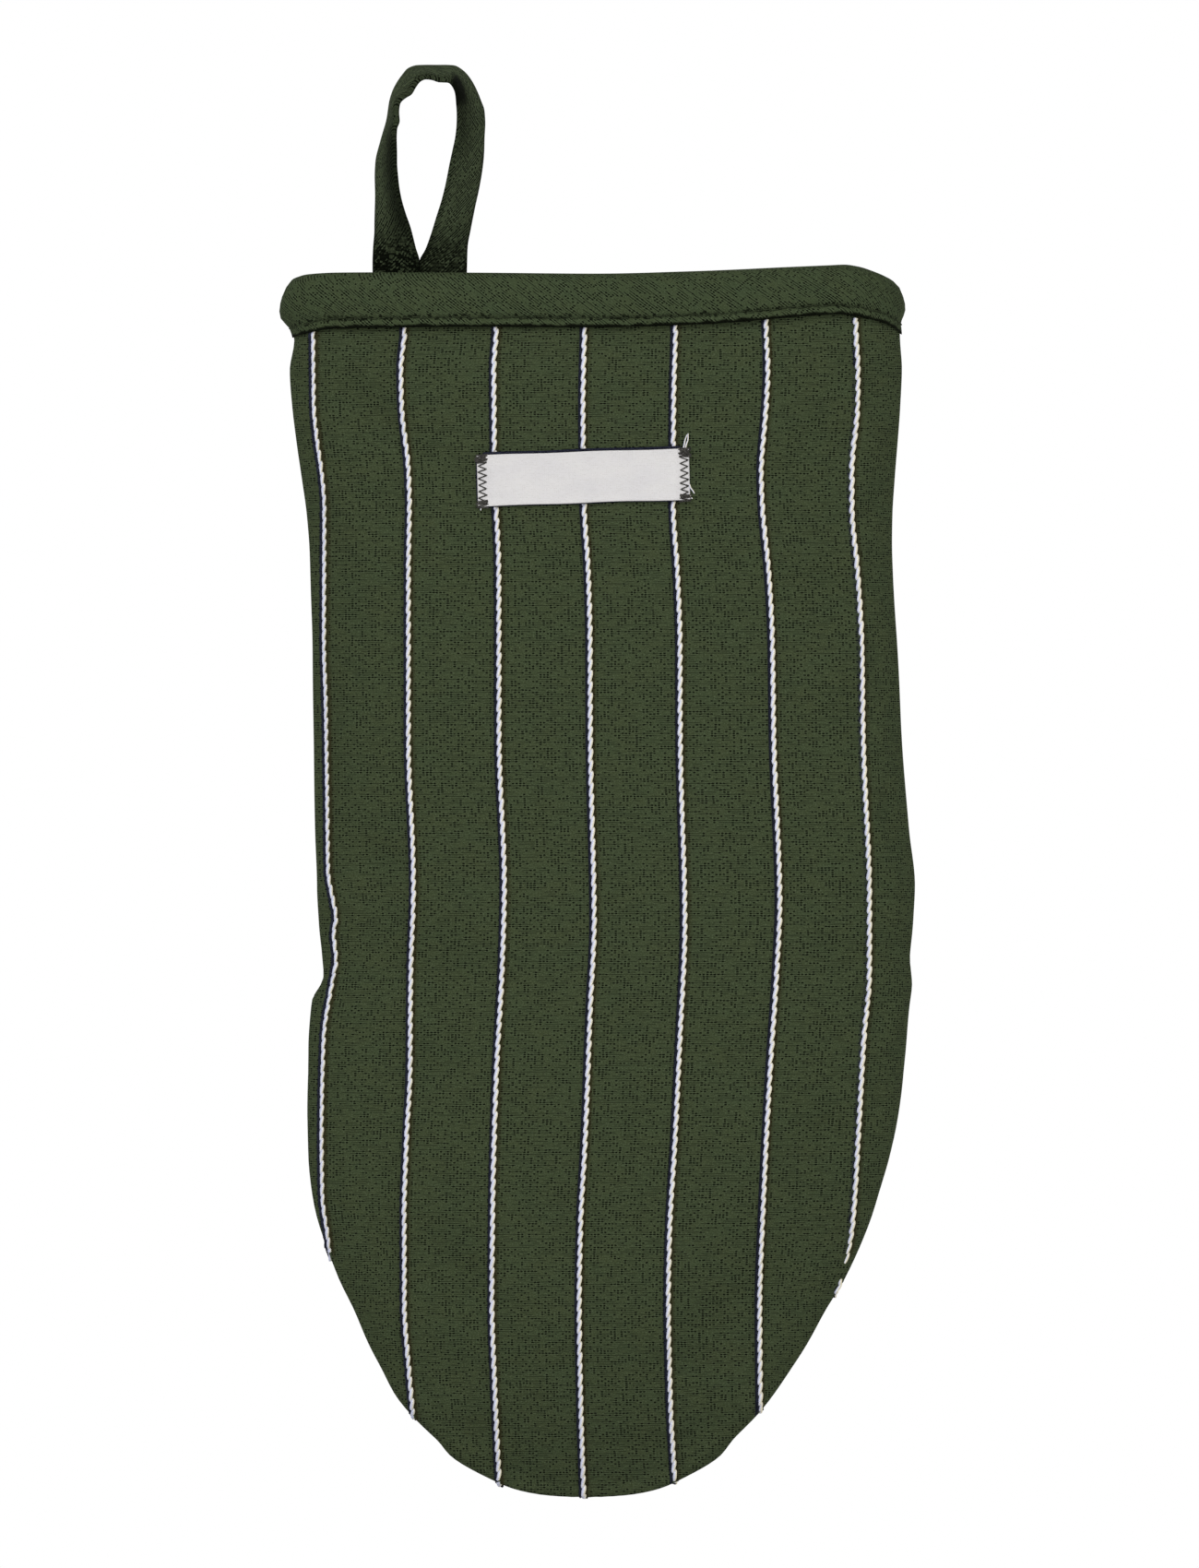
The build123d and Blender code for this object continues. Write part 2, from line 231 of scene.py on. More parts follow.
def puff(depths, shares, side):
    """Lift of a panel's padding at its rows and shares, from the cloth simulation."""
    if side not in PUFF:
        return 0.0
    rows, columns, lift = PUFF[side]
    down = np.stack([np.interp(depths, rows, lift[:, c]) for c in range(len(columns))], axis=1)
    return np.stack([np.interp(shares, columns, row) for row in down])


def mitt_grid(depths, shares, side, inset=0.0):
    """Points of one panel of the mitt. side is -1 for the back and 1 for the palm."""
    z, mid, width, depth, radius = [v[:, None] for v in mitt_sections(depths, inset)]
    x, y = oval(shares[None, :], width, depth, radius)
    points = np.stack([x + mid, side * y, np.broadcast_to(z, x.shape)], axis=-1)
    base_z, base_mid, base_width, base_depth, base_radius = [v[:, None] for v in mitt_sections(depths)]
    bx, by = oval(shares[None, :], base_width, base_depth, base_radius)
    base = np.stack([bx + base_mid, side * by, np.broadcast_to(base_z, bx.shape)], axis=-1)
    normal = -side * grid_normals(base)
    edge = np.minimum(shares, 1 - shares)[None, :] * 2 * base_width
    fade = np.clip(-base_z / 30, 0, 1) * np.clip(edge / 12, 0, 1)
    out = (0.6 * ripple(bx, base_z, 1.0 if side < 0 else 2.7) + puff(depths, shares, side)) * fade
    out = out - 0.9 * np.exp(-((edge / 1.4) ** 2))
    pucker = np.sin(base_z / 2.3 + 1.4 * np.sin(base_z / 17)) * np.exp(-edge / 6) * np.clip((edge - 2) / 4, 0, 1)
    out = out + 0.4 * pucker * np.clip((-base_z - 18) / 10, 0, 1)
    pinch = np.exp(-(((base_z + CROTCH_DEPTH) / 5.5) ** 2))
    out = out - 1.3 * pinch * np.exp(-edge / 13) * np.clip(edge / 6, 0, 1)
    if side > 0:
        out = out - 0.7 * np.exp(-(((base_z + CROTCH_DEPTH) / 1.6) ** 2))
    points = points + normal * out[..., None]
    points[..., 2] += rim_lift(bx + base_mid, base_z)
    return points


def unrolled(u, points, reach, centre):
    """u of a grid of points, with the cloth that turns away past a reach added, from a centre column out."""
    steps = np.diff(points, axis=1)
    past = np.abs(u[:, 1:] - STRIPES[3]) > reach
    more = np.sign(steps[..., 0]) * (np.linalg.norm(steps, axis=-1) - np.abs(steps[..., 0])) * past
    more = np.concatenate([np.zeros((len(points), 1)), np.cumsum(more, axis=1)], axis=1)
    return u + more - more[:, [centre]]


def mirrored(u):
    """u counted the other way from the middle stripe."""
    return 2 * STRIPES[3] - u


def mitt_cloth(points, depths, side):
    """Flat cloth coordinates of a panel's points, in millimetres."""
    depth = np.minimum(-mitt_sections(depths)[0][:, None], FINGER_DEPTH + TIP_LENGTH)
    u = points[..., 0] - stray(points[..., 0], np.broadcast_to(depth, points.shape[:2]))
    u = unrolled(u, points, STRIPES[6] - STRIPES[3] + PAST_STRIPE, points.shape[1] // 2)
    return np.stack([u if side < 0 else mirrored(u), points[..., 2]], axis=-1)


def surface_point(face, x, z):
    """Point and normal on a panel's cloth at x and z: face holds its grid and normals, rows by depth."""
    grid, normals = face
    rows = grid[:, :, 2].mean(axis=1)
    found, turned = [], []
    for px, pz in zip(np.atleast_1d(x), np.atleast_1d(z)):
        r = np.clip(np.searchsorted(-rows, -pz) - 1, 0, len(rows) - 2)
        t = np.clip((rows[r] - pz) / (rows[r] - rows[r + 1]), 0, 1)
        line = grid[r] * (1 - t) + grid[r + 1] * t
        turn = normals[r] * (1 - t) + normals[r + 1] * t
        found.append([px, np.interp(px, line[:, 0], line[:, 1]), pz])
        turned.append([np.interp(px, line[:, 0], turn[:, k]) for k in range(3)])
    return np.array(found), unit(np.array(turned))


# Meshes


def mesh_object(name, points, faces, material, cloth=None):
    """A mesh piece from points in millimetres, with its flat cloth coordinates as a UV map in metres."""
    mesh = bpy.data.meshes.new(name)
    mesh.from_pydata((np.asarray(points) * MM).tolist(), [], faces)
    mesh.materials.append(material)
    if cloth is not None:
        layer = mesh.uv_layers.new(name="Cloth")
        corner = np.zeros(len(mesh.loops), int)
        mesh.loops.foreach_get("vertex_index", corner)
        layer.data.foreach_set("uv", (np.asarray(cloth)[corner] * MM).astype(np.float32).ravel())
    mesh.polygons.foreach_set("use_smooth", [True] * len(mesh.polygons))
    piece = bpy.data.objects.new(name, mesh)
    bpy.context.scene.collection.objects.link(piece)
    return piece


def grid_faces(rows, columns, start=0, closed=False, flip=False):
    """Quads of a grid of points, rows by columns, wrapping round when closed."""
    faces = []
    for r in range(rows - 1):
        for c in range(columns if closed else columns - 1):
            n = (c + 1) % columns
            here, below = start + r * columns, start + (r + 1) * columns
            quad = [here + c, below + c, below + n, here + n]
            faces.append(quad[::-1] if flip else quad)
    return faces


def capped_faces(rows, columns):
    """Quads round a closed grid of points and a face over each end."""
    ends = [list(range(columns)), list(range((rows - 1) * columns, rows * columns))[::-1]]
    return grid_faces(rows, columns, 0, True) + ends


def layer_piece(name, outside, inside, material, cloth, flip=False, closed=False):
    """A closed sheet between two grids of points, outside and inside."""
    rows, columns = outside.shape[:2]
    count = rows * columns
    faces = grid_faces(rows, columns, 0, closed, flip) + grid_faces(rows, columns, count, closed, not flip)
    rims = [[(r, c) for c in range(columns)] for r in (0, rows - 1)]
    if closed:
        rims = [rim + rim[:1] for rim in rims]
    else:
        rims += [[(r, c) for r in range(rows)] for c in (0, columns - 1)]
    turned = [False, True] + ([] if closed else [True, False])
    for rim, turn in zip(rims, turned):
        for (r0, c0), (r1, c1) in zip(rim, rim[1:]):
            a, b = r0 * columns + c0, r1 * columns + c1
            quad = [a, b, b + count, a + count]
            faces.append(quad[::-1] if turn != flip else quad)
    points = np.concatenate([outside.reshape(-1, 3), inside.reshape(-1, 3)])
    coordinates = np.concatenate([cloth.reshape(-1, 2), cloth.reshape(-1, 2)])
    return mesh_object(name, points, faces, material, coordinates)


def tube(path, radius, sides, up, squash=1.0):
    """Points and faces of a closed tube along a path, flattened by squash along up."""
    ahead = unit(np.gradient(path, axis=0))
    across = unit(np.cross(ahead, up))
    over = np.cross(across, ahead)
    radius = np.broadcast_to(radius, len(path))[:, None, None]
    angles = tau * np.arange(sides) / sides
    ring = across[:, None] * np.cos(angles)[None, :, None] + over[:, None] * (squash * np.sin(angles))[None, :, None]
    return (path[:, None] + radius * ring).reshape(-1, 3), capped_faces(len(path), sides)


def joined(parts):
    """One set of points and faces from several."""
    points, faces, start = [], [], 0
    for some, quads in parts:
        points.append(some)
        faces += [[start + k for k in quad] for quad in quads]
        start += len(some)
    return np.concatenate(points), faces


def run_length(path):
    """How far along a path each of its points lies."""
    return np.concatenate([[0], np.cumsum(np.linalg.norm(np.diff(path, axis=0), axis=1))])


def along_path(places, along, values):
    """Points or normals at places along a path."""
    return np.stack([np.interp(places, along, values[:, j]) for j in range(3)], axis=1)


PLY_PITCH, PLY_REACH = 3.0, 2.0


def plied(path, normals, phase):
    """The slanting lobes of a two-ply yarn that lies along a path on cloth with these normals."""
    along = run_length(path)
    across = unit(np.cross(np.gradient(path, axis=0), normals))
    lobes = []
    for k, centre in enumerate(np.arange(phase - 1.4, along[-1] + 1.4, PLY_PITCH)):
        t = np.linspace(max(-1, -centre / PLY_REACH), min(1, (along[-1] - centre) / PLY_REACH), 9)
        here, up, left = [along_path(centre + PLY_REACH * t, along, v) for v in (path, normals, across)]
        girth = (0.56 + 0.04 * sin(2.9 * k + phase)) * np.sqrt(1 - 0.88 * t**4)
        swing = 0.38 * np.sin(t * pi / 2.2)
        rise = 0.02 + 0.28 * np.cos(t * pi / 2)
        lobes.append(tube(here + left * swing[:, None] + up * rise[:, None], girth, 7, up, 0.9))
    return lobes


# Materials


class Shader:
    """A material's nodes, added one call at a time."""

    def __init__(self, name, roughness=0.9):
        self.material = bpy.data.materials.new(name)
        self.material.use_nodes = True
        self.tree = self.material.node_tree
        self.surface = self.tree.nodes["Principled BSDF"]
        self.surface.inputs["Roughness"].default_value = roughness
        self.surface.inputs["Specular IOR Level"].default_value = 0.03

    def put(self, socket, value):
        if isinstance(value, bpy.types.NodeSocket):
            self.tree.links.new(value, socket)
        elif value is not None:
            socket.default_value = value

    def node(self, kind, values=(), **settings):
        made = self.tree.nodes.new(kind)
        for key, value in settings.items():
            setattr(made, key, value)
        for key, value in dict(values).items():
            self.put(made.inputs[key], value)
        return made

    def math(self, operation, a, b=None, c=None):
        made = self.node("ShaderNodeMath", operation=operation)
        for socket, value in zip(made.inputs, (a, b, c)):
            self.put(socket, value)
        return made.outputs[0]

    def cloth(self, turn=0.0):
        """The two flat cloth coordinates in millimetres, turned by an angle in degrees."""
        uv = self.node("ShaderNodeUVMap", uv_map="Cloth").outputs[0]
        turned = self.node("ShaderNodeVectorRotate", {"Vector": uv, "Angle": radians(turn)}, rotation_type="Z_AXIS")
        parts = self.node("ShaderNodeSeparateXYZ", {"Vector": turned.outputs[0]})
        return [self.math("MULTIPLY", part, 1000) for part in parts.outputs[:2]]

    def vector(self, x, y, z=0.0):
        return self.node("ShaderNodeCombineXYZ", {"X": x, "Y": y, "Z": z}).outputs[0]

    def white(self, x, y):
        """A random number for each whole-numbered place."""
        made = self.node("ShaderNodeTexWhiteNoise", {"Vector": self.vector(x, y)}, noise_dimensions="2D")
        return made.outputs["Value"]

    def both(self, *values):
        """The product of several values."""
        total = values[0]
        for value in values[1:]:
            total = self.math("MULTIPLY", total, value)
        return total

    def noise(self, vector, scale=1.0, detail=2.0, rough=0.5):
        values = {"Vector": vector, "Scale": scale, "Detail": detail, "Roughness": rough}
        return self.node("ShaderNodeTexNoise", values).outputs["Fac"]

    def ramp(self, value, low, high, out_low=0.0, out_high=1.0):
        values = {"Value": value, "From Min": low, "From Max": high, "To Min": out_low, "To Max": out_high}
        return self.node("ShaderNodeMapRange", values, interpolation_type="SMOOTHSTEP").outputs[0]

    def mix(self, factor, a, b):
        made = self.node("ShaderNodeMix", data_type="RGBA")
        for socket, value in zip((made.inputs[0], made.inputs[6], made.inputs[7]), (factor, a, b)):
            self.put(socket, value)
        return made.outputs[2]

    def finish(self, colour, height, distance, strength):
        self.put(self.surface.inputs["Base Color"], colour)
        bump = self.node("ShaderNodeBump", {"Height": height, "Strength": strength, "Distance": distance})
        self.put(self.surface.inputs["Normal"], bump.outputs[0])
        return self.material


def srgb(red, green, blue):
    """A colour as written in 0 to 255, as linear light."""
    parts = [v / 255 for v in (red, green, blue)]
    return tuple(v / 12.92 if v <= 0.04045 else ((v + 0.055) / 1.055) ** 2.4 for v in parts) + (1.0,)


def woven(
    name, first, second, dark, light, pitch=(0.95, 0.58), turn=0.0, contrast=1.0, lines=1.0, relief=1.0, extra=None
):
    """Slubby plain weave: two tones that drift, painted shade in pitted crossings and in gaps between threads, which
    come and go, each with a painted highlight on the thread next to it, and a fine grain. extra changes the tone
    further."""
    s = Shader(name)
    u, v = s.cloth(turn)
    drift = s.noise(s.vector(s.math("MULTIPLY", u, 0.6), v), 0.16, 3.0)
    sway = s.math("MULTIPLY_ADD", s.noise(s.vector(u, v), 0.4, 1.0), 0.5, -0.25)
    across = s.math("DIVIDE", s.math("ADD", u, sway), pitch[0])
    down = s.math("DIVIDE", s.math("MULTIPLY_ADD", sway, 0.6, v), pitch[1])
    row, column = s.math("FLOOR", down), s.math("FLOOR", across)
    weft = s.math("ABSOLUTE", s.math("SINE", s.math("MULTIPLY", down, pi)))
    warp = s.math("ABSOLUTE", s.math("SINE", s.math("MULTIPLY", across, pi)))
    grain = s.noise(s.vector(s.math("MULTIPLY", u, 2.2), s.math("MULTIPLY", v, 3.2), 3.0), 1.0, 2.0, 0.6)
    ragged = s.math("MULTIPLY_ADD", grain, 1.4, -0.7)
    crossing = s.math("ADD", s.both(weft, warp), ragged)
    pitted = s.ramp(s.white(column, row), 0.36, 0.26)
    stretch = s.math("FLOOR", s.math("MULTIPLY_ADD", row, 0.37, s.math("MULTIPLY", across, 0.45)))
    gapped = s.ramp(s.white(stretch, row), 0.6, 0.3)
    # Painted shade: dark pits where threads cross and dark gaps between threads, also sunk in the bump
    pit_shade = s.both(s.ramp(crossing, 0.3, 0.62), pitted)
    gaps = s.both(s.ramp(s.math("ADD", weft, ragged), 0.66, 0.95), gapped, 0.55 * lines)
    shade = s.math("MINIMUM", s.both(s.math("ADD", pit_shade, gaps), contrast), 0.95)
    # Painted highlight: a lighter thread body next to each gap and pit
    thread_highlight = s.both(s.ramp(weft, 0.6, 0.25), gapped, 0.6 * lines)
    thread_highlight = s.math("ADD", s.both(s.ramp(crossing, 0.3, 0.1), pitted), thread_highlight)
    tone = s.mix(s.ramp(drift, 0.25, 0.75), first, second)
    tone = s.mix(s.both(thread_highlight, 0.3 * contrast), tone, light)
    tone = s.mix(s.ramp(grain, 0.5, 0.28, 0.0, 0.44 * contrast), tone, dark)
    tone = s.mix(s.ramp(grain, 0.5, 0.74, 0.0, 0.44 * contrast), tone, light)
    tone = s.mix(shade, tone, dark)
    if extra:
        tone = extra(s, tone)
    height = s.math("MULTIPLY_ADD", weft, -0.6, s.math("MULTIPLY", warp, -0.35))
    height = s.math("SUBTRACT", height, s.math("MULTIPLY", shade, 0.5))
    return s.finish(tone, height, 0.00022 * relief, 0.55)


def beside_stripes(s, tone):
    """A navy line left of each white stripe, faint at the last, and a faint brown one at its right. Both stop where
    the outermost stripes turn in at the tip."""
    u, v = s.cloth()
    outermost = s.ramp(s.math("ABSOLUTE", s.math("SUBTRACT", u, STRIPES[3])), 66.6, 69.6)
    shown = s.math("SUBTRACT", 1.0, s.both(outermost, s.ramp(v, -262.0, -267.0)))
    side = s.math("ADD", u, STRIPE_PITCH / 2 - STRIPE_SHIFT)
    side = s.math("SUBTRACT", s.math("FLOORED_MODULO", side, STRIPE_PITCH), STRIPE_PITCH / 2)
    brown = s.math("ADD", s.ramp(side, 1.4, 1.05, 0.0, 0.36), s.ramp(side, 2.3, 1.2, 0.0, 0.3))
    brown = s.both(s.ramp(side, 0.3, 0.6), brown, shown)
    strength = s.ramp(u, STRIPES[6] - 6, STRIPES[6] - 3, 0.85, 0.3)
    navy = s.both(s.ramp(side, -1.5, -1.15), s.ramp(side, -0.4, -0.8), strength, shown)
    return s.mix(navy, s.mix(brown, tone, srgb(40, 30, 14)), srgb(24, 25, 40))


def loop_shade(s, tone):
    """Painted shade on the tape: its foot ends, darker with ribs and specks towards the binding, a dark line along each
    edge where it turns, the shade inside its sides and a dark fold inside its right bend.
    """
    across, along = s.cloth()
    # Painted shade: the feet go dark towards the binding, broken by ribs and specks
    last_foot_shade = s.ramp(along, LOOP_LENGTH - 30.0, LOOP_LENGTH - 16.0, 0.0, 0.9)
    foot_shade = s.math("MAXIMUM", s.ramp(along, 31.0, 16.0, 0.0, 1.2), last_foot_shade)
    rib = s.ramp(s.math("ABSOLUTE", s.math("SINE", s.math("MULTIPLY", along, pi / 1.05))), 0.3, 0.85, 1.0, 0.82)
    speck = s.white(s.math("FLOOR", s.math("DIVIDE", across, 0.7)), s.math("FLOOR", s.math("DIVIDE", along, 0.525)))
    # Painted shade inside the tape's left and right sides, in the dark fold inside its right bend and along its turned
    # edges
    inner = s.ramp(across, 3.0, -5.5)
    left = s.both(inner, s.ramp(along, 18.0, 27.0), s.ramp(along, 60.0, 46.0), 0.84)
    right = s.both(inner, s.ramp(along, 80.0, 86.0), s.ramp(along, 110.0, 90.0), 0.6)
    crease_shade = s.both(s.ramp(along, 77.5, 80.0), s.ramp(along, 92.0, 85.0), s.ramp(across, 0.5, -3.5))
    edge_shade = s.ramp(s.math("ABSOLUTE", across), 5.0, 5.8, 0.0, 0.45)
    shade = s.math("MAXIMUM", s.math("MAXIMUM", left, right), s.math("MAXIMUM", crease_shade, edge_shade))
    tone = s.mix(shade, tone, srgb(10, 13, 7))
    return s.mix(s.both(foot_shade, rib, s.ramp(speck, 0.5, 0.75, 1.0, 0.42)), tone, srgb(5, 7, 3))


def hem_shade(s, tone):
    """The painted shadow under the binding's hem, where its cloth starts, and painted shade in the puckers under its
    topstitching.
    """
    around, start = s.cloth()
    # Painted shadow under the hem, with a wandering edge
    wander = s.math("MULTIPLY_ADD", s.noise(s.vector(around, 0.0), 0.22, 3.0), 2.6, -1.3)
    tone = s.mix(s.ramp(s.math("ADD", start, wander), 2.4, 1.7, 0.0, 0.95), tone, srgb(8, 10, 5))
    # Painted shade: dark spots in the puckers along the topstitching
    spot = s.math("FLOOR", s.math("DIVIDE", around, 0.9))
    line = s.math("MULTIPLY_ADD", s.white(spot, 9.0), 1.3, 3.7)
    off_line = s.math("ABSOLUTE", s.math("SUBTRACT", s.math("MULTIPLY_ADD", wander, 0.35, start), line))
    pucker = s.both(s.ramp(off_line, 0.8, 0.3), s.ramp(s.white(spot, 5.0), 0.54, 0.7), 0.85)
    return s.mix(pucker, tone, srgb(10, 13, 7))


def yarn(name, light, shaded, sides=None):
    """Fibrous yarn with painted shade in its hollows, and painted light: faces turned left take one tint and faces
    turned right another.
    """
    s = Shader(name, 0.85)
    places = s.node("ShaderNodeTexCoord").outputs
    fibres = s.noise(places["Object"], 2600.0, 2.0, 0.6)
    tone = s.mix(s.ramp(fibres, 0.3, 0.7), shaded, light)
    if sides:
        # Painted light: one tint on faces turned left and another on faces turned right
        facing = s.node("ShaderNodeSeparateXYZ", {"Vector": places["Normal"]}).outputs[0]
        tone = s.mix(s.ramp(facing, 0.1, -0.5), tone, sides[0])
        tone = s.mix(s.ramp(facing, 0.1, 0.6), tone, sides[1])
    return s.finish(tone, fibres, 0.0001, 0.5)


def plain_fuzz(name, light, shaded):
    """Matted cotton wadding, with painted shade in the hollows between its tufts."""
    s = Shader(name, 1.0)
    place = s.node("ShaderNodeTexCoord").outputs["Object"]
    tufts = s.noise(place, 260.0, 6.0, 0.7)
    return s.finish(s.mix(s.ramp(tufts, 0.3, 0.7), shaded, light), tufts, 0.0012, 0.6)


LOOP_LENGTH = 146.3
# The weave's darkest tone is for its painted shade in pits and gaps and its random dark grain; its lightest is for its
# painted highlights and random light grain
GREEN, OLIVE, GRAIN_AND_GAP_SHADE, SLUB_AND_HIGHLIGHT = srgb(60, 70, 48), srgb(62, 70, 47), srgb(9, 13, 5), srgb(100, 112, 86)
striped_cloth = woven("striped_cloth", GREEN, OLIVE, GRAIN_AND_GAP_SHADE, SLUB_AND_HIGHLIGHT, extra=beside_stripes)
lining_cloth = woven("lining_cloth", GREEN, srgb(57, 64, 45), GRAIN_AND_GAP_SHADE, SLUB_AND_HIGHLIGHT, pitch=(0.7, 0.5), contrast=0.7)
BIAS_TAPE = {"pitch": (0.95, 0.7), "turn": 45.0, "lines": 1.5}
binding_cloth = woven(
    "binding_cloth", srgb(59, 70, 48), srgb(61, 70, 47), GRAIN_AND_GAP_SHADE, SLUB_AND_HIGHLIGHT, contrast=0.9, extra=hem_shade, **BIAS_TAPE
)
loop_cloth = woven(
    "loop_cloth", srgb(62, 72, 51), srgb(59, 67, 47), GRAIN_AND_GAP_SHADE, SLUB_AND_HIGHLIGHT, contrast=1.5, relief=1.5, extra=loop_shade, **BIAS_TAPE
)
label_tones = srgb(218, 216, 215), srgb(212, 210, 211), srgb(182, 178, 174), srgb(238, 236, 232)
label_cloth = woven("label_cloth", *label_tones, pitch=(0.5, 0.42), contrast=0.18, relief=0.5)
yarn_side_light = srgb(204, 208, 231), srgb(230, 222, 196)
white_yarn = yarn("white_yarn", srgb(243, 243, 244), srgb(206, 206, 211), yarn_side_light)
navy_thread = yarn("navy_thread", srgb(42, 45, 60), srgb(16, 17, 26))
dark_thread = yarn("dark_thread", srgb(56, 64, 45), srgb(30, 35, 24))
grey_thread = yarn("grey_thread", srgb(82, 80, 76), srgb(40, 39, 38))
wadding = plain_fuzz("wadding", srgb(226, 221, 210), srgb(190, 184, 170))

LAYERS = (
    ("outer", 0.0, OUTER_CLOTH, striped_cloth, "striped_cloth"),
    ("wadding", OUTER_CLOTH, OUTER_CLOTH + WADDING, wadding, "cotton_wadding"),
    ("lining", OUTER_CLOTH + WADDING, WALL, lining_cloth, "lining_cloth"),
)


def fill(nodes):
    """Hides the CAD nodes that a piece takes the place of."""
    if nodes:
        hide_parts(*nodes)


def on_mitt(piece, slot, *nodes):
    """Hangs a piece on the mitt in the place of CAD nodes."""
    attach(piece, "mitt")
    fill(nodes)


def on_thumb(piece, slot, *nodes):
    """Bakes a thumb piece's placement into its mesh, in the place of CAD nodes."""
    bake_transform(piece)
    fill(nodes)


# Padding: a coarse copy of the mitt, held at its seams and mouth and blown up a little as cloth


def swell():
    """How far the blown-up cloth lifts each place of a panel: rows, columns and lift for each side."""
    rows = np.concatenate([np.linspace(0, FINGER_DEPTH, 48), FINGER_DEPTH + np.linspace(4, 86, 24)])
    columns = np.linspace(0, 1, 43)
    grids = {side: mitt_grid(rows, columns, side) for side in (-1, 1)}
    count = len(rows) * len(columns)
    faces = grid_faces(len(rows), len(columns)) + grid_faces(len(rows), len(columns), count, flip=True)
    bag_points = np.concatenate([grids[side].reshape(-1, 3) for side in (-1, 1)])
    bag = mesh_object("bag", bag_points, faces, wadding)
    held = np.zeros((2, len(rows), len(columns)), bool)
    held[:, :, [0, -1]] = held[:, :5] = held[:, -1:] = True
    held[1, np.abs(rows - CROTCH_DEPTH).argmin()] = True
    pins = bag.vertex_groups.new(name="pins")
    pins.add(np.flatnonzero(held).tolist(), 1.0, "REPLACE")
    cloth = bag.modifiers.new("cloth", "CLOTH")
    settings = cloth.settings
    settings.quality = 6
    settings.mass = 0.2
    settings.tension_stiffness = settings.compression_stiffness = 20
    settings.bending_stiffness = 1.0
    settings.shrink_min = -0.012
    settings.vertex_group_mass = "pins"
    settings.use_pressure = True
    settings.uniform_pressure_force = 1.0
    settings.effector_weights.gravity = 0.0
    cloth.collision_settings.use_collision = False
    cloth.point_cache.frame_end = CLOTH_FRAMES
    for number in range(1, CLOTH_FRAMES + 1):
        bpy.context.scene.frame_set(number)
    blown = bag.evaluated_get(bpy.context.evaluated_depsgraph_get()).data
    places = np.zeros(2 * count * 3)
    blown.vertices.foreach_get("co", places)
    places = places.reshape(2, len(rows), len(columns), 3) / MM
    bpy.context.scene.frame_set(1)
    bpy.data.objects.remove(bag)
    lifts = {}
    for k, side in enumerate((-1, 1)):
        lift = ((places[k] - grids[side]) * -side * grid_normals(grids[side])).sum(axis=-1)
        lifts[side] = (rows, columns, np.clip(lift - np.median(lift), -LIFT_CAP, LIFT_CAP))
    return lifts


PUFF.update(swell())


# Panels of the mitt, three layers each

fine_shares = np.linspace(0, 1, 121)
edge_shares = 0.5 - 0.5 * np.cos(pi * fine_shares)
shares = 0.65 * fine_shares + 0.35 * edge_shares
round_tip = FINGER_DEPTH + np.linspace(1.5, 88.5, 58)
back_depths = np.concatenate([np.linspace(0, FINGER_DEPTH, 112), round_tip])
wrist_depths = np.linspace(0, CROTCH_DEPTH, 96)
finger_depths = np.concatenate([np.linspace(CROTCH_DEPTH, FINGER_DEPTH, 17), round_tip])

PANELS = (("back", back_depths, -1), ("palm_wrist", wrist_depths, 1), ("palm_finger", finger_depths, 1))
panel_pieces = {}
for panel, depths, side in PANELS:
    cloth = mitt_cloth(mitt_grid(depths, shares, side), depths, side)
    for layer, start, end, material, slot in LAYERS:
        outside = mitt_grid(depths, shares, side, start)
        inside = mitt_grid(depths, shares, side, end)
        piece = layer_piece(f"{panel}.{layer}", outside, inside, material, cloth, flip=side > 0)
        panel_pieces[panel, layer] = piece
        on_mitt(piece, slot, f"{panel}_{layer}")

back_face = mitt_grid(back_depths, shares, -1)
back_face = (back_face, grid_normals(back_face))
palm_face = mitt_grid(np.concatenate([wrist_depths[:-1], finger_depths]), shares, 1)
palm_face = (palm_face, -grid_normals(palm_face))


# Woven stripes: white plied yarns with a navy end at their left


all_rows = np.concatenate([np.linspace(0, FINGER_DEPTH, 60), FINGER_DEPTH + np.linspace(0.5, 90, 180)])
edge_z, _, edge_width, _, _ = mitt_sections(all_rows)


def stripe_path(face, number, start, end):
    """Path and normals of one stripe down a panel, as far as the panel's edge."""
    z = -np.arange(start, end, 0.7)
    x = STRIPES[number] + STRAYS[number](-z)
    keep = np.abs(x - middle(-z)) < np.interp(-z, -edge_z, edge_width) - 0.25
    return surface_point(face, x[keep], z[keep])


FLAT_ROLL = 0.22


def stripe_pieces(names, hang, node, runs, rolls=None):
    """White yarns in the place of a CAD node, and their navy ends, along several runs of (path, normals). rolls turn
    the ends up round the yarns, and each piece is handed to hang."""
    white, navy = [], []
    for k, (path, normals) in enumerate(runs):
        phase = 1.7 * k % PLY_PITCH
        white += plied(path, normals, phase)
        across = unit(np.cross(np.gradient(path, axis=0), normals))
        roll = rolls[k] if rolls else FLAT_ROLL
        bulge = 1 + 0.3 * np.cos(2 * pi * (run_length(path) - phase + 0.9) / PLY_PITCH)
        ends = path + 0.9 * (across * cos(roll) + normals * sin(roll))
        navy.append(tube(ends, (0.3 + 0.2 * max(roll, 0)) * bulge, 5, normals))
    hang(mesh_object(names[0], *joined(white), white_yarn), "white_yarn", node)
    hang(mesh_object(names[1], *joined(navy), navy_thread), "dark_thread")


ROLLS = (0.8, 0.4, FLAT_ROLL, FLAT_ROLL, FLAT_ROLL, 0.15, -0.3)
back_runs = [stripe_path(back_face, k, STRIPE_START, STRIPE_END) for k in range(len(STRIPES))]
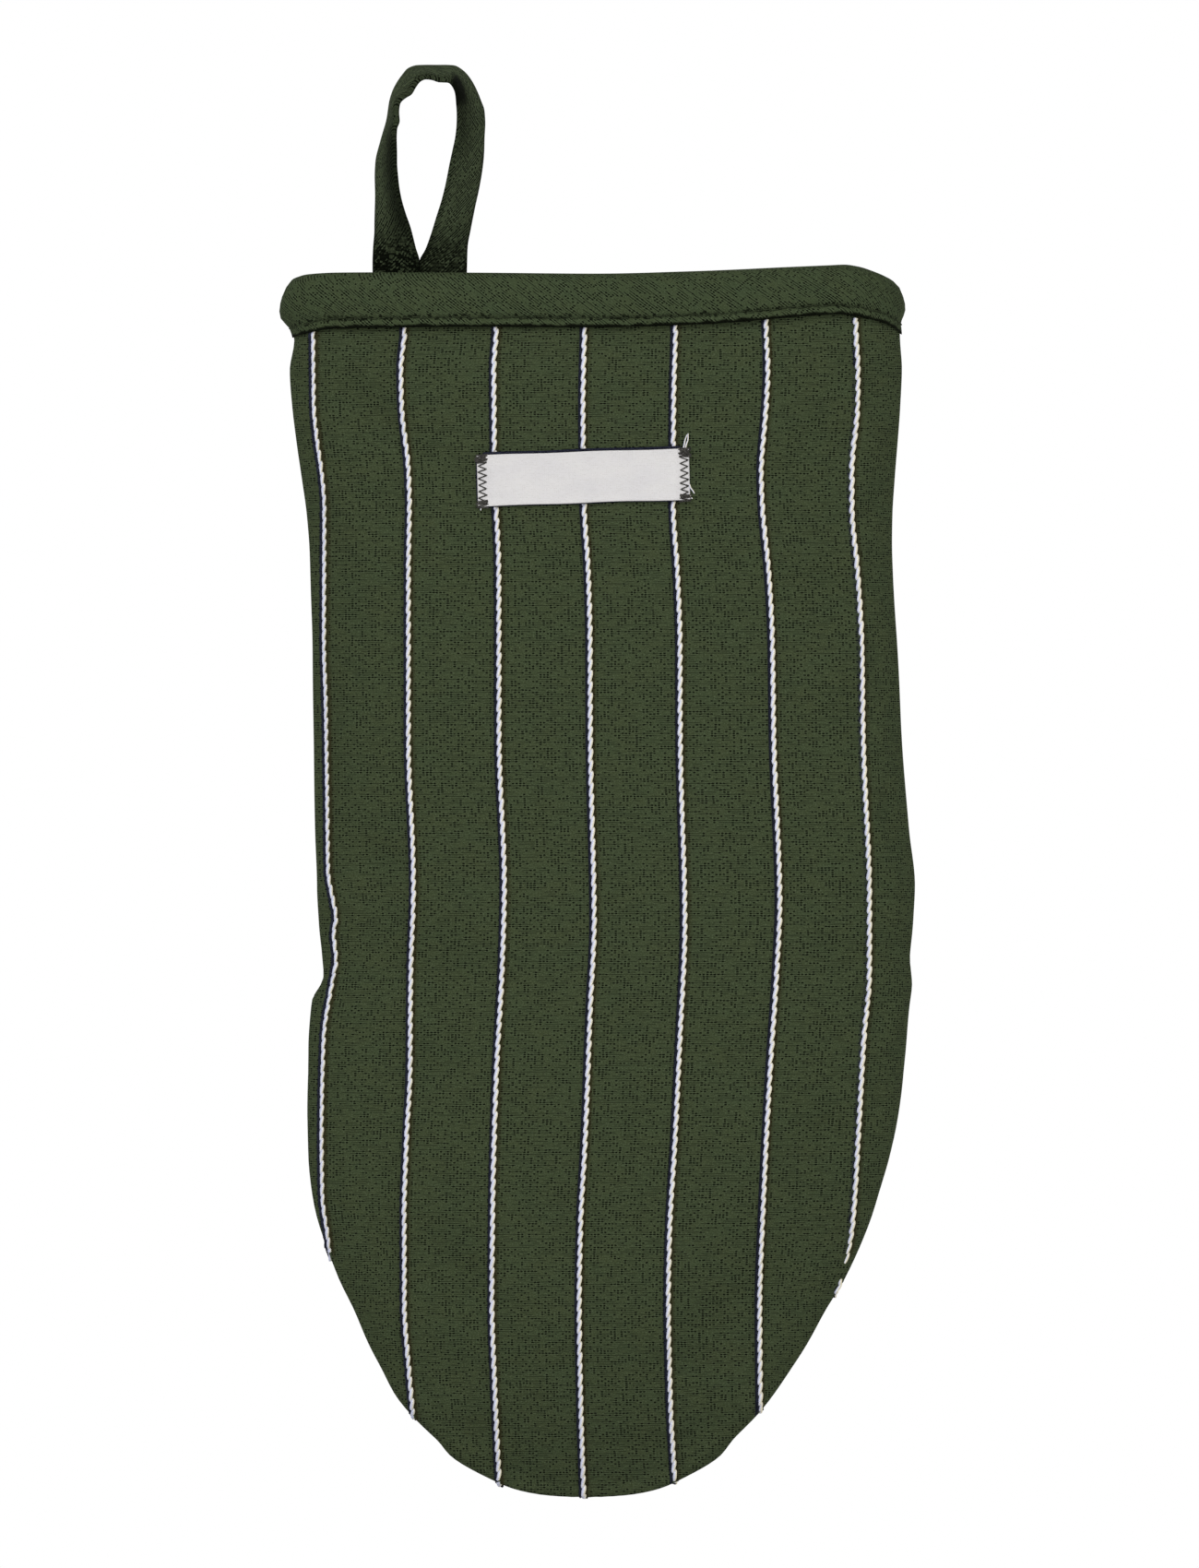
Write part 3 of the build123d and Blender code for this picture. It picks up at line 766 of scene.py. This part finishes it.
# The last stripe sinks into the cloth near the tip's seam and comes up again as a short tail
sunk = smooth((255, 0.0), (261, 0.4), (266.5, 0.6), (268.5, 1.4), (270.3, 1.4), (271.5, 0.0))
path, normals = back_runs[-1]
back_runs[-1] = (path - normals * sunk(-path[:, 2])[:, None], normals)
stripe_pieces(("back.stripes.yarns", "back.stripes.navy"), on_mitt, "back_stripes", back_runs, ROLLS)


# Cuff binding

RIM = (
    (-0.2, -16.3), (-1.1, -16.35), (-1.75, -15.9), (-1.95, -15.0), (-1.8, -14.3), (-1.35, -13.75),
    (-1.35, -13.35), (-1.75, -12.8), (-2.1, -11.5), (-2.25, -9.0), (-2.2, -6.0), (-2.0, -3.0), (-1.5, -0.9),
    (-0.4, 0.5), (1.0, 1.15), (2.6, 1.3), (4.2, 1.1), (5.4, 0.4), (6.1, -0.9), (6.4, -3.0), (6.4, -7.0),
    (6.4, -12.5), (6.2, -13.4), (6.4, -14.2), (6.3, -15.6), (5.6, -16.2), (4.9, -16.2),
)
RING = 300


def ring_points(inset, height, count=RING):
    """Points all round the mouth at an inset and a height, back first, left to right."""
    depth = np.array([max(-height, 0.0)])
    _, mid, width, deep, radius = [v[0] for v in mitt_sections(depth)]
    half = np.linspace(0, 1, count // 2, endpoint=False)
    ends = np.clip((np.abs(oval(half, width, deep, radius)[0]) - 66) / 14, 0, 1)
    low = np.clip((-height - 6) / 10, 0, 1)
    tucked = inset * (1 - 0.95 * ends * low * low * (3 - 2 * low)) if inset < 0 else inset + 0 * ends
    bx, by = oval(half, width - tucked, deep - tucked, SIDE_RADIUS - tucked)
    points = np.concatenate([
        np.stack([bx + mid, -by, np.full_like(bx, height)], axis=-1),
        np.stack([-bx + mid, by, np.full_like(bx, height)], axis=-1),
    ])
    points[:, 2] += rim_lift(points[:, 0], height)
    return points


rim_rows = []
for inset, height in RIM:
    row = ring_points(inset, height)
    bumps = 0.22 * np.sin(row[:, 0] / 6.3 + 0.3 * height) + 0.15 * np.sin(row[:, 0] / 2.9 + row[:, 1] / 5)
    outward = unit(np.stack([row[:, 0] / 6, row[:, 1], 0 * row[:, 0]], axis=-1))
    rim_rows.append(row + outward * (bumps * (0.6 if inset < 0 else 0.0))[:, None])
rim = np.array(rim_rows)
RIM_FRONT = 12
rim_cloth = np.stack(np.meshgrid(run_length(rim[RIM_FRONT]), run_length(np.array(RIM))), axis=-1)
rim_faces = grid_faces(len(RIM), RING, 0, True, True)
last = (len(RIM) - 1) * RING
rim_faces += [[c, (c + 1) % RING, last + (c + 1) % RING, last + c] for c in range(RING)]
binding = mesh_object("cuff.binding", rim.reshape(-1, 3), rim_faces, binding_cloth, rim_cloth.reshape(-1, 2))
on_mitt(binding, "binding_tape", "cuff_binding")


def stitch_run(line, normals, length, pitch, radius, lift, wobble):
    """Short stitches along a line that lies on cloth, each dipping into it at both ends."""
    along = run_length(line)
    parts = []
    for k, start in enumerate(np.arange(0.3, along[-1] - length, pitch)):
        place = np.linspace(start, start + length, 7)
        up = unit(along_path(place, along, normals))
        rise = lift * np.sin(np.linspace(0, pi, 7)) - 0.4 * lift
        path = along_path(place, along, line) + up * rise[:, None]
        path[:, 2] += wobble * sin(2.1 * k)
        parts.append(tube(path, radius, 5, up))
    return parts


def ring_normals(points):
    """Level normals, towards the hand, of points all round the mouth."""
    ahead = np.roll(points, -1, axis=0) - np.roll(points, 1, axis=0)
    return unit(np.cross(np.broadcast_to([0.0, 0.0, 1.0], points.shape), ahead))


outer_line = ring_points(-1.55, -13.55, 600)
inner_line = ring_points(6.35, -13.4, 600)
STITCH, STITCH_PITCH = 1.9, 2.25
topstitch = stitch_run(outer_line, -ring_normals(outer_line), STITCH, STITCH_PITCH, 0.21, 0.22, 0.22)
topstitch += stitch_run(inner_line, ring_normals(inner_line), STITCH, STITCH_PITCH, 0.2, 0.3, 0.1)
thread = mesh_object("cuff.topstitch", *joined(topstitch), dark_thread)
on_mitt(thread, "dark_thread", "binding_thread")


# Hanging loop: a tape that twists edge-on over its top, blended from its sewn ends

# Outer and inner edge of the tape seen from the front, from the left foot over the top to the right foot
LOOP_EDGES = np.array([
    (-59.4, -14.0, -46.8, -14.0), (-59.5, -7.0, -46.8, -7.0), (-59.6, 2.0, -46.9, 2.0),
    (-59.5, 5.6, -47.9, 5.6), (-59.1, 10.9, -49.3, 10.9), (-59.1, 14.8, -50.6, 14.8),
    (-59.1, 18.6, -51.6, 18.6), (-59.1, 23.8, -52.5, 23.8), (-58.8, 28.9, -53.0, 28.9),
    (-57.7, 34.1, -53.0, 34.1), (-56.8, 37.5, -52.8, 37.3), (-56.1, 40.0, -52.1, 39.4),
    (-55.6, 42.6, -52.3, 42.0), (-55.2, 45.0, -52.1, 44.0), (-54.4, 47.6, -50.8, 45.5),
    (-53.2, 50.0, -49.1, 46.6), (-51.8, 52.1, -47.9, 48.5), (-50.0, 54.2, -46.6, 50.0),
    (-47.6, 55.0, -45.2, 50.5), (-44.4, 55.1, -43.6, 50.3), (-41.0, 55.1, -41.6, 49.7),
    (-37.9, 54.9, -39.4, 49.7), (-35.4, 53.5, -38.0, 48.5), (-33.4, 51.2, -37.3, 46.6),
    (-31.9, 48.6, -37.1, 44.3), (-30.6, 45.7, -37.0, 41.8), (-29.5, 42.7, -37.1, 38.8),
    (-29.3, 39.6, -37.4, 35.6), (-29.6, 35.3, -38.1, 31.7), (-29.8, 30.9, -38.8, 28.2),
    (-30.2, 26.4, -39.7, 24.0), (-30.9, 21.9, -40.9, 19.2), (-32.2, 16.3, -42.3, 14.4),
    (-33.3, 10.9, -43.7, 9.7), (-34.1, 5.8, -45.4, 5.2), (-34.2, 2.0, -47.0, 2.0), (-34.4, -7.0, -47.1, -7.0),
    (-34.5, -14.0, -47.1, -14.0),
])
LOOP_WIDTH, LOOP_THICK = 12.9, 2.2
TAPE = 28
round_places = tau * np.arange(TAPE) / TAPE
tape_x = LOOP_WIDTH / 2 * np.sign(np.cos(round_places)) * np.abs(np.cos(round_places)) ** 0.4
tape_y = LOOP_THICK / 2 * np.sign(np.sin(round_places)) * np.abs(np.sin(round_places)) ** 0.7
turns = np.linspace(pi / 2, 0, 200)
turned_width = np.array([2 * (tape_x * cos(a) + tape_y * sin(a)).max() for a in turns])
rising = np.maximum.accumulate(turned_width)

mids = (LOOP_EDGES[:, :2] + LOOP_EDGES[:, 2:]) / 2
spans = run_length(mids)
even = np.linspace(0, spans[-1], 240)
outer_x, outer_z, inner_x, inner_z = [smooth(*zip(spans, LOOP_EDGES[:, k]))(even) for k in range(4)]
seen_width = np.hypot(outer_x - inner_x, outer_z - inner_z)
twist = np.interp(seen_width, rising, turns)
line_z = (outer_z + inner_z) / 2
towards = np.stack([outer_x - inner_x, 0 * even, outer_z - inner_z], axis=1) / seen_width[:, None]
inwards = np.broadcast_to([0.0, 1.0, 0.0], towards.shape)
wide = towards * np.cos(twist)[:, None] + inwards * np.sin(twist)[:, None]
thin = towards * np.sin(twist)[:, None] - inwards * np.cos(twist)[:, None]
loop_y = LOOP_Y + 0.5 * np.sin(even / 14) * np.clip(line_z / 12, 0, 1)
spine = np.stack([(outer_x + inner_x) / 2, loop_y, line_z], axis=1)
fold = 0.15 * np.sin(even / 3.1)[:, None] * np.cos(round_places)[None, :] * np.clip(line_z / 20, 0, 1)[:, None]
loop_points = spine[:, None] + wide[:, None] * tape_x[None, :, None]
loop_points = loop_points + thin[:, None] * (tape_y[None, :] + fold)[..., None]
loop_cloth_places = np.stack(np.meshgrid(tape_x, even), axis=-1)
loop_faces = capped_faces(len(even), TAPE)
loop = mesh_object("loop.tape", loop_points.reshape(-1, 3), loop_faces, loop_cloth, loop_cloth_places.reshape(-1, 2))
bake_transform(loop)
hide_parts("hanging_loop", "loop_ends")


# Label: a bare woven tape over the stripes, zigzagged down its short ends

LABEL_X, LABEL_Z, LABEL_TILT = -3.05, -56.0, radians(1.5)
LABEL_HALF, LABEL_RISE = 28.3, 6.85


def label_grid(u, v, lift):
    """Points over the cloth at the label's own places, which lie over the stripes, and the normals there."""
    u, v = np.broadcast_arrays(u, v)
    bow = (0.2 * np.sin(u / 19 + 0.6) + 0.08 * np.sin(u / 4.1 + v)) * np.abs(v) / LABEL_RISE
    x = LABEL_X + u * cos(LABEL_TILT) - v * sin(LABEL_TILT)
    z = LABEL_Z + u * sin(LABEL_TILT) + v * cos(LABEL_TILT) + bow
    at, normals = surface_point(back_face, x.ravel(), z.ravel())
    ridge = np.zeros(u.size)
    for number, x0 in enumerate(STRIPES):
        ridge = np.maximum(ridge, np.exp(-(((at[:, 0] - x0 - STRAYS[number](-at[:, 2])) / 2.6) ** 2)))
    sewn = np.exp(-(((LABEL_HALF - np.abs(u.ravel())) / 2.6) ** 2))
    height = 0.55 + 0.75 * ridge - 0.25 * sewn * (1 - ridge) + np.ravel(lift)
    return (at + normals * height[:, None]).reshape(*u.shape, 3), normals.reshape(*u.shape, 3)


label_u = np.linspace(-LABEL_HALF, LABEL_HALF, 110)
label_u, label_v = np.meshgrid(label_u, np.linspace(LABEL_RISE, -LABEL_RISE, 28))
edge_rise = 0.2 * np.exp(-(LABEL_RISE - np.abs(label_v)) / 0.7)
label_under, _ = label_grid(label_u, label_v, edge_rise)
label_top, _ = label_grid(label_u, label_v, edge_rise + 0.42)
label = layer_piece("label.tape", label_top, label_under, label_cloth, np.stack([label_u, label_v], axis=-1))
on_mitt(label, "label_tape", "label")

# Dark navy tubes tucked under the label's rim, painted shade standing in for the shadow along it: start, end and radius
LABEL_UNDER_EDGE_SHADE = (
    ((-26.5, 7.15), (26.0, 7.15), 0.42),
    ((-28.5, 5.0), (-28.5, -5.5), 0.22),
    ((-26.0, -6.95), (26.5, -6.95), 0.16),
)
under_edge_shade_lines = []
for start, stop, rise in LABEL_UNDER_EDGE_SHADE:
    line = np.linspace(start, stop, 90)
    path, up = label_grid(line[:, 0], line[:, 1], -0.25)
    under_edge_shade_lines.append(tube(path, rise, 6, up))
# Painted shade as dark tubes: they stand in for the shadow under the label's rim
under_edge_shade = mesh_object("label.under_edge_shade", *joined(under_edge_shade_lines), navy_thread)
on_mitt(under_edge_shade, "dark_thread")


ZIGS, ZIG_PLACE, ZIG_HALF = 15, 26.9, 1.15
zigzags = []
for end in (-1, 1):
    corners = []
    for k in range(ZIGS + 1):
        across = end * (ZIG_PLACE + (ZIG_HALF if k % 2 else -ZIG_HALF)) + 0.12 * sin(2.3 * k)
        corners.append((across, 6.5 - 13.0 * k / ZIGS + 0.15 * sin(3.1 * k)))
    dense = np.concatenate([np.linspace(corners[k], corners[k + 1], 7)[:-1] for k in range(ZIGS)])
    path, up = label_grid(dense[:, 0], dense[:, 1], 0.5)
    zigzags.append(tube(path, 0.18, 5, up))
    for knot, count, low in ((1, 11, 5.0), (-1, 8, 5.4)):
        for k in range(count):
            y = knot * (low + 2.0 * k / count) + 0.12 * sin(5 * k)
            first = (end * (25.6 + 0.35 * sin(3 * k)), y + 0.25 * sin(4 * k))
            second = (end * (28.6 + 0.3 * sin(7 * k + end)), y - 0.25 * sin(4 * k + 1))
            run = np.linspace(first, second, 7)
            path, up = label_grid(run[:, 0], run[:, 1], 0.45)
            path = path + up * ((0.22 + 0.1 * sin(9 * k)) * np.sin(np.linspace(0, pi, 7)))[:, None]
            zigzags.append(tube(path, 0.19, 5, up))
stitches = mesh_object("label.zigzag", *joined(zigzags), grey_thread)
on_mitt(stitches, "dark_thread", "label_stitches")

frays = []
for run in (
    [(26.6, 6.2), (27.0, 7.6), (27.3, 9.0), (27.9, 10.6)],
    [(27.3, 6.4), (27.6, 7.8), (28.1, 9.2), (28.2, 10.9)],
    [(28.2, -2.6), (28.5, -3.5), (29.1, -4.4), (29.5, -5.2)],
    [(27.9, -5.2), (28.4, -5.9), (28.9, -6.6)],
    [(-27.2, -6.6), (-27.5, -7.2), (-27.6, -7.8)],
):
    run = np.array(run)
    steps = np.linspace(0, len(run) - 1, 14)
    dense = np.stack([smooth(*zip(range(len(run)), run[:, k]))(steps) for k in range(2)], axis=1)
    path, up = label_grid(dense[:, 0], dense[:, 1], 0.35)
    frays.append(tube(path, np.linspace(0.26, 0.16, 14), 5, up))
fray = mesh_object("label.frays", *joined(frays), white_yarn)
on_mitt(fray, "white_yarn")


# Thumb: a root that comes through the palm, and a pocket of two halves

def root_depth(angle):
    """Half depth of the thumb's root where it has turned by an angle about the crotch."""
    return THUMB_HALF_DEPTH + (ROOT_HEIGHT / 2 - THUMB_HALF_DEPTH) * angle / 90


def about_crotch(x, reach, angle):
    """Points at x and a reach from the crotch, turned by an angle."""
    return np.stack([x, CROTCH_Y + reach * cos(radians(angle)), -CROTCH_DEPTH + reach * sin(radians(angle))], axis=-1)


def root_ring(angle, inset, places):
    """Points round the thumb's root where it has turned by an angle; past 90 it goes into the palm."""
    turned = min(angle, 90.0)
    deep = root_depth(turned)
    x, y = ring_oval(places, THUMB_HALF_WIDTH - inset, deep - inset, THUMB_SIDE_RADIUS - inset)
    point = about_crotch(x, STAND_OFF + deep + y, turned)
    point[:, 1] -= max(angle - 90.0, 0.0)
    return point


def ring_oval(places, width, deep, radius):
    """x and y round a whole oval: places from 0 to 1 go over the outer side, 1 to 2 back under it."""
    x, y = oval(places % 1.0, width, deep, radius)
    outer = places < 1
    return np.where(outer, x, -x), np.where(outer, y, -y)


def thumb_section(length, inset=0.0):
    """Height, half width, half depth and side radius of the thumb at a length below its root, which counts on as
    degrees round the tip."""
    body, degrees = min(length, THUMB_STRAIGHT), max(length - THUMB_STRAIGHT, 0.0)
    share = cos(radians(degrees))
    width = (THUMB_HALF_WIDTH - inset) * share * (1 - 0.05 * sin(pi * body / THUMB_STRAIGHT / 2))
    z = -CROTCH_DEPTH - body - (THUMB_TIP - inset) * sin(radians(degrees))
    return z, width, (THUMB_HALF_DEPTH - inset) * share, (THUMB_SIDE_RADIUS - inset) * share * 0.98


def thumb_ring(length, inset, places):
    """Points round the thumb at a length below its root."""
    z, *section = thumb_section(length, inset)
    x, y = ring_oval(places, *section)
    return np.stack([x, CROTCH_Y + STAND_OFF + THUMB_HALF_DEPTH + y, np.full_like(x, z)], axis=-1)


def thumb_relief(points, places):
    """Unevenness of the thumb's cloth and the seams along its sides, as a share of outward."""
    side = np.abs(((places + 0.5) % 1.0) - 0.5)
    seam = -0.6 * np.exp(-((side / 0.02) ** 2))
    return ripple(points[..., 0], points[..., 2], 4.1) * 0.7 * np.clip(side / 0.1, 0, 1) + seam


def soft_grid(rings, places, base):
    """Rings of points with the thumb's relief, measured on the base rings so that layers keep together."""
    base = np.array(base)
    normal = unit(np.cross(np.gradient(base, axis=1), np.gradient(base, axis=0)))
    out = thumb_relief(base, places[None, :])
    return np.array(rings) + normal * out[..., None]


root_places = np.linspace(0, 2, 160, endpoint=False)
root_angles = np.concatenate([90 + np.linspace(12, 1, 8), np.linspace(90, 0, 40)])
thumb_lengths = np.concatenate([np.linspace(0.0, THUMB_STRAIGHT, 26), THUMB_STRAIGHT + np.linspace(2, 88, 40)])
half_places = {"cover": np.linspace(0, 1, 81), "under": np.linspace(1, 1.99999, 81)}


def travel(rings):
    """Distance down a column of rings, as flat cloth."""
    return run_length(np.array(rings).mean(axis=1))


THUMB_REACH = STRIPES[4] - STRIPES[3] + PAST_STRIPE
root_base = [root_ring(a, 0.0, root_places) for a in root_angles]
for layer, start, end, material, slot in LAYERS:
    outside = soft_grid([root_ring(a, start, root_places) for a in root_angles], root_places, root_base)
    inside = soft_grid([root_ring(a, end, root_places) for a in root_angles], root_places, root_base)
    u = mirrored(unrolled(outside[..., 0], outside, THUMB_REACH, len(root_places) // 4))
    places = np.stack([u, np.broadcast_to(travel(root_base)[:, None], u.shape)], axis=-1)
    piece = layer_piece(f"thumb_root.{layer}", outside, inside, material, places, closed=True)
    on_thumb(piece, slot, f"thumb_root_{layer}")

for half, places_here in half_places.items():
    base = [thumb_ring(t, 0.0, places_here) for t in thumb_lengths]
    for layer, start, end, material, slot in LAYERS:
        outside = soft_grid([thumb_ring(t, start, places_here) for t in thumb_lengths], places_here, base)
        inside = soft_grid([thumb_ring(t, end, places_here) for t in thumb_lengths], places_here, base)
        u = unrolled(outside[..., 0], outside, THUMB_REACH, len(places_here) // 2)
        places = np.stack([mirrored(u) if half == "cover" else u, outside[..., 2]], axis=-1)
        piece = layer_piece(f"thumb_{half}.{layer}", outside, inside, material, places, flip=True)
        on_thumb(piece, slot, f"thumb_{half}_{layer}")

# The palm's window for the thumb's root

window_ring = np.linspace(0, 2, 120, endpoint=False)
wx, wz = ring_oval(window_ring, *WINDOW)
CUT_FROM, CUT_TO = 5.0, 40.0
cutter_points = [np.stack([wx, np.full_like(wx, y), WINDOW_Z + wz], axis=-1) for y in (CUT_FROM, CUT_TO)]
cutter = mesh_object("window.cutter", np.concatenate(cutter_points), capped_faces(2, len(window_ring)), wadding)
for layer, *_ in LAYERS:
    piece = panel_pieces["palm_wrist", layer]
    cut = piece.modifiers.new("window", "BOOLEAN")
    cut.operation, cut.object, cut.solver = "DIFFERENCE", cutter, "EXACT"
    bpy.context.view_layer.update()
    evaluated = piece.evaluated_get(bpy.context.evaluated_depsgraph_get())
    opened = bpy.data.meshes.new_from_object(evaluated)
    piece.modifiers.clear()
    piece.data = opened
bpy.data.objects.remove(cutter)


# Stripes on the palm and the thumb


def outside_window(path, normals):
    """The runs of a stripe that lie clear of the palm's window."""
    inside = np.abs(path[:, 2] - WINDOW_Z) < oval_reach(path[:, 0], *WINDOW)
    inside &= np.abs(path[:, 0]) < THUMB_HALF_WIDTH
    runs, run = [], []
    for k, hidden in enumerate(inside):
        if hidden:
            runs.append(run)
            run = []
        else:
            run.append(k)
    runs.append(run)
    return [(path[r], normals[r]) for r in runs if len(r) > 6]


wrist_runs, finger_runs = [], []
for k in range(len(STRIPES)):
    wrist_runs += outside_window(*stripe_path(palm_face, k, STRIPE_START, CROTCH_DEPTH - 0.5))
    finger_runs.append(stripe_path(palm_face, k, CROTCH_DEPTH + 0.5, STRIPE_END))
for panel, runs in (("palm_wrist", wrist_runs), ("palm_finger", finger_runs)):
    stripe_pieces((f"{panel}.stripes.yarns", f"{panel}.stripes.navy"), on_mitt, f"{panel}_stripes", runs)

ROOT_ANGLES = np.linspace(90, 0, 46)
thumb_runs = []
for x in STRIPES[2:5]:
    for outer in (True, False):
        rows = []
        for angle in ROOT_ANGLES:
            deep = root_depth(angle)
            y = float(oval_reach(np.array(x), THUMB_HALF_WIDTH, deep, THUMB_SIDE_RADIUS))
            rows.append(about_crotch(x, STAND_OFF + deep + (y if outer else -y), angle))
        for length in thumb_lengths[1:]:
            z, *section = thumb_section(length)
            if abs(x) > section[0] - 0.3:
                break
            y = float(oval_reach(np.array(x), *section))
            rows.append((x, CROTCH_Y + STAND_OFF + THUMB_HALF_DEPTH + (y if outer else -y), z))
        rows = np.array(rows if outer else rows[len(ROOT_ANGLES):])
        ahead = np.gradient(rows, axis=0)
        turned = unit(np.cross(ahead, np.broadcast_to([1.0, 0.0, 0.0], rows.shape)))
        turned = turned if outer else -turned
        turned = np.where(turned[:, 1:2] * (1 if outer else -1) < -0.2, -turned, turned)
        thumb_runs.append((rows, turned))

thumb_names = ("thumb.stripes.white_yarn", "thumb.stripes.dark_thread")
stripe_pieces(thumb_names, on_thumb, "thumb_stripes", thumb_runs)


# Stage, light and camera

# The photo's size and the place of the frame's origin in it, in pixels, and the size of a pixel
PHOTO_WIDTH, PHOTO_HEIGHT = 1300, 1700
ORIGIN_X, ORIGIN_Y = 645, 294
PIXEL = 0.248 * MM
VIEW_X, VIEW_Z = (PHOTO_WIDTH / 2 - ORIGIN_X) * PIXEL, (ORIGIN_Y - PHOTO_HEIGHT / 2) * PIXEL
DISTANCE, SENSOR = 4.0, 36.0
FLOOR_Z, FLOOR_HALF = -362, 4000

camera_data = bpy.data.cameras.new("camera")
camera_data.sensor_width = SENSOR
camera_data.lens = SENSOR * DISTANCE / (PHOTO_HEIGHT * PIXEL)
camera = bpy.data.objects.new("camera", camera_data)
camera.location = (VIEW_X, -DISTANCE, VIEW_Z)
camera.rotation_euler = (pi / 2, 0, 0)
camera_data.clip_end = 50
bpy.context.scene.collection.objects.link(camera)
bpy.context.scene.camera = camera


def white_to_camera(tree, shader, out):
    """Shows plain white to the camera and in reflections, and the given shader to other rays."""
    rays = tree.nodes.new("ShaderNodeLightPath")
    seen = rays.outputs["Is Camera Ray"]
    for kind in ("Is Glossy Ray", "Is Transmission Ray"):
        either = tree.nodes.new("ShaderNodeMath")
        either.operation = "MAXIMUM"
        tree.links.new(seen, either.inputs[0])
        tree.links.new(rays.outputs[kind], either.inputs[1])
        seen = either.outputs[0]
    mix = tree.nodes.new("ShaderNodeMixShader")
    white = tree.nodes.new("ShaderNodeBackground" if out.type == "OUTPUT_WORLD" else "ShaderNodeEmission")
    white.inputs["Color"].default_value = (1, 1, 1, 1)
    white.inputs["Strength"].default_value = 1.0
    tree.links.new(seen, mix.inputs[0])
    tree.links.new(shader, mix.inputs[1])
    tree.links.new(white.outputs[0], mix.inputs[2])
    tree.links.new(mix.outputs[0], out.inputs["Surface"])


world = bpy.data.worlds.new("studio")
bpy.context.scene.world = world
world.use_nodes = True
sky = world.node_tree.nodes["Background"]
sky.inputs["Color"].default_value = (1, 1, 1, 1)
sky.inputs["Strength"].default_value = 0.55
white_to_camera(world.node_tree, sky.outputs[0], world.node_tree.nodes["World Output"])

floor_material = bpy.data.materials.new("floor")
floor_material.use_nodes = True
paper = floor_material.node_tree.nodes["Principled BSDF"]
paper.inputs["Base Color"].default_value = (0.85, 0.85, 0.85, 1)
paper.inputs["Roughness"].default_value = 0.9
white_to_camera(floor_material.node_tree, paper.outputs[0], floor_material.node_tree.nodes["Material Output"])
floor_points = [(x * FLOOR_HALF, y * FLOOR_HALF, FLOOR_Z) for x, y in ((-1, -1), (1, -1), (1, 1), (-1, 1))]
floor = mesh_object("floor", floor_points, [[0, 1, 2, 3]], floor_material)


LIT_PLACE = (0.0, 0.0, -0.15)


def lamp(name, place, size, power):
    """A square soft light aimed at the middle of the mitt."""
    data = bpy.data.lights.new(name, "AREA")
    data.size, data.energy = size, power
    light = bpy.data.objects.new(name, data)
    light.location = place
    light.rotation_euler = (Vector(LIT_PLACE) - Vector(place)).to_track_quat("-Z", "Y").to_euler()
    bpy.context.scene.collection.objects.link(light)


lamp("key", (-1.0, -2.0, 1.2), 1.2, 26)
lamp("fill", (1.6, -1.6, 0.2), 1.4, 12)

bpy.context.scene.view_settings.view_transform = "Standard"
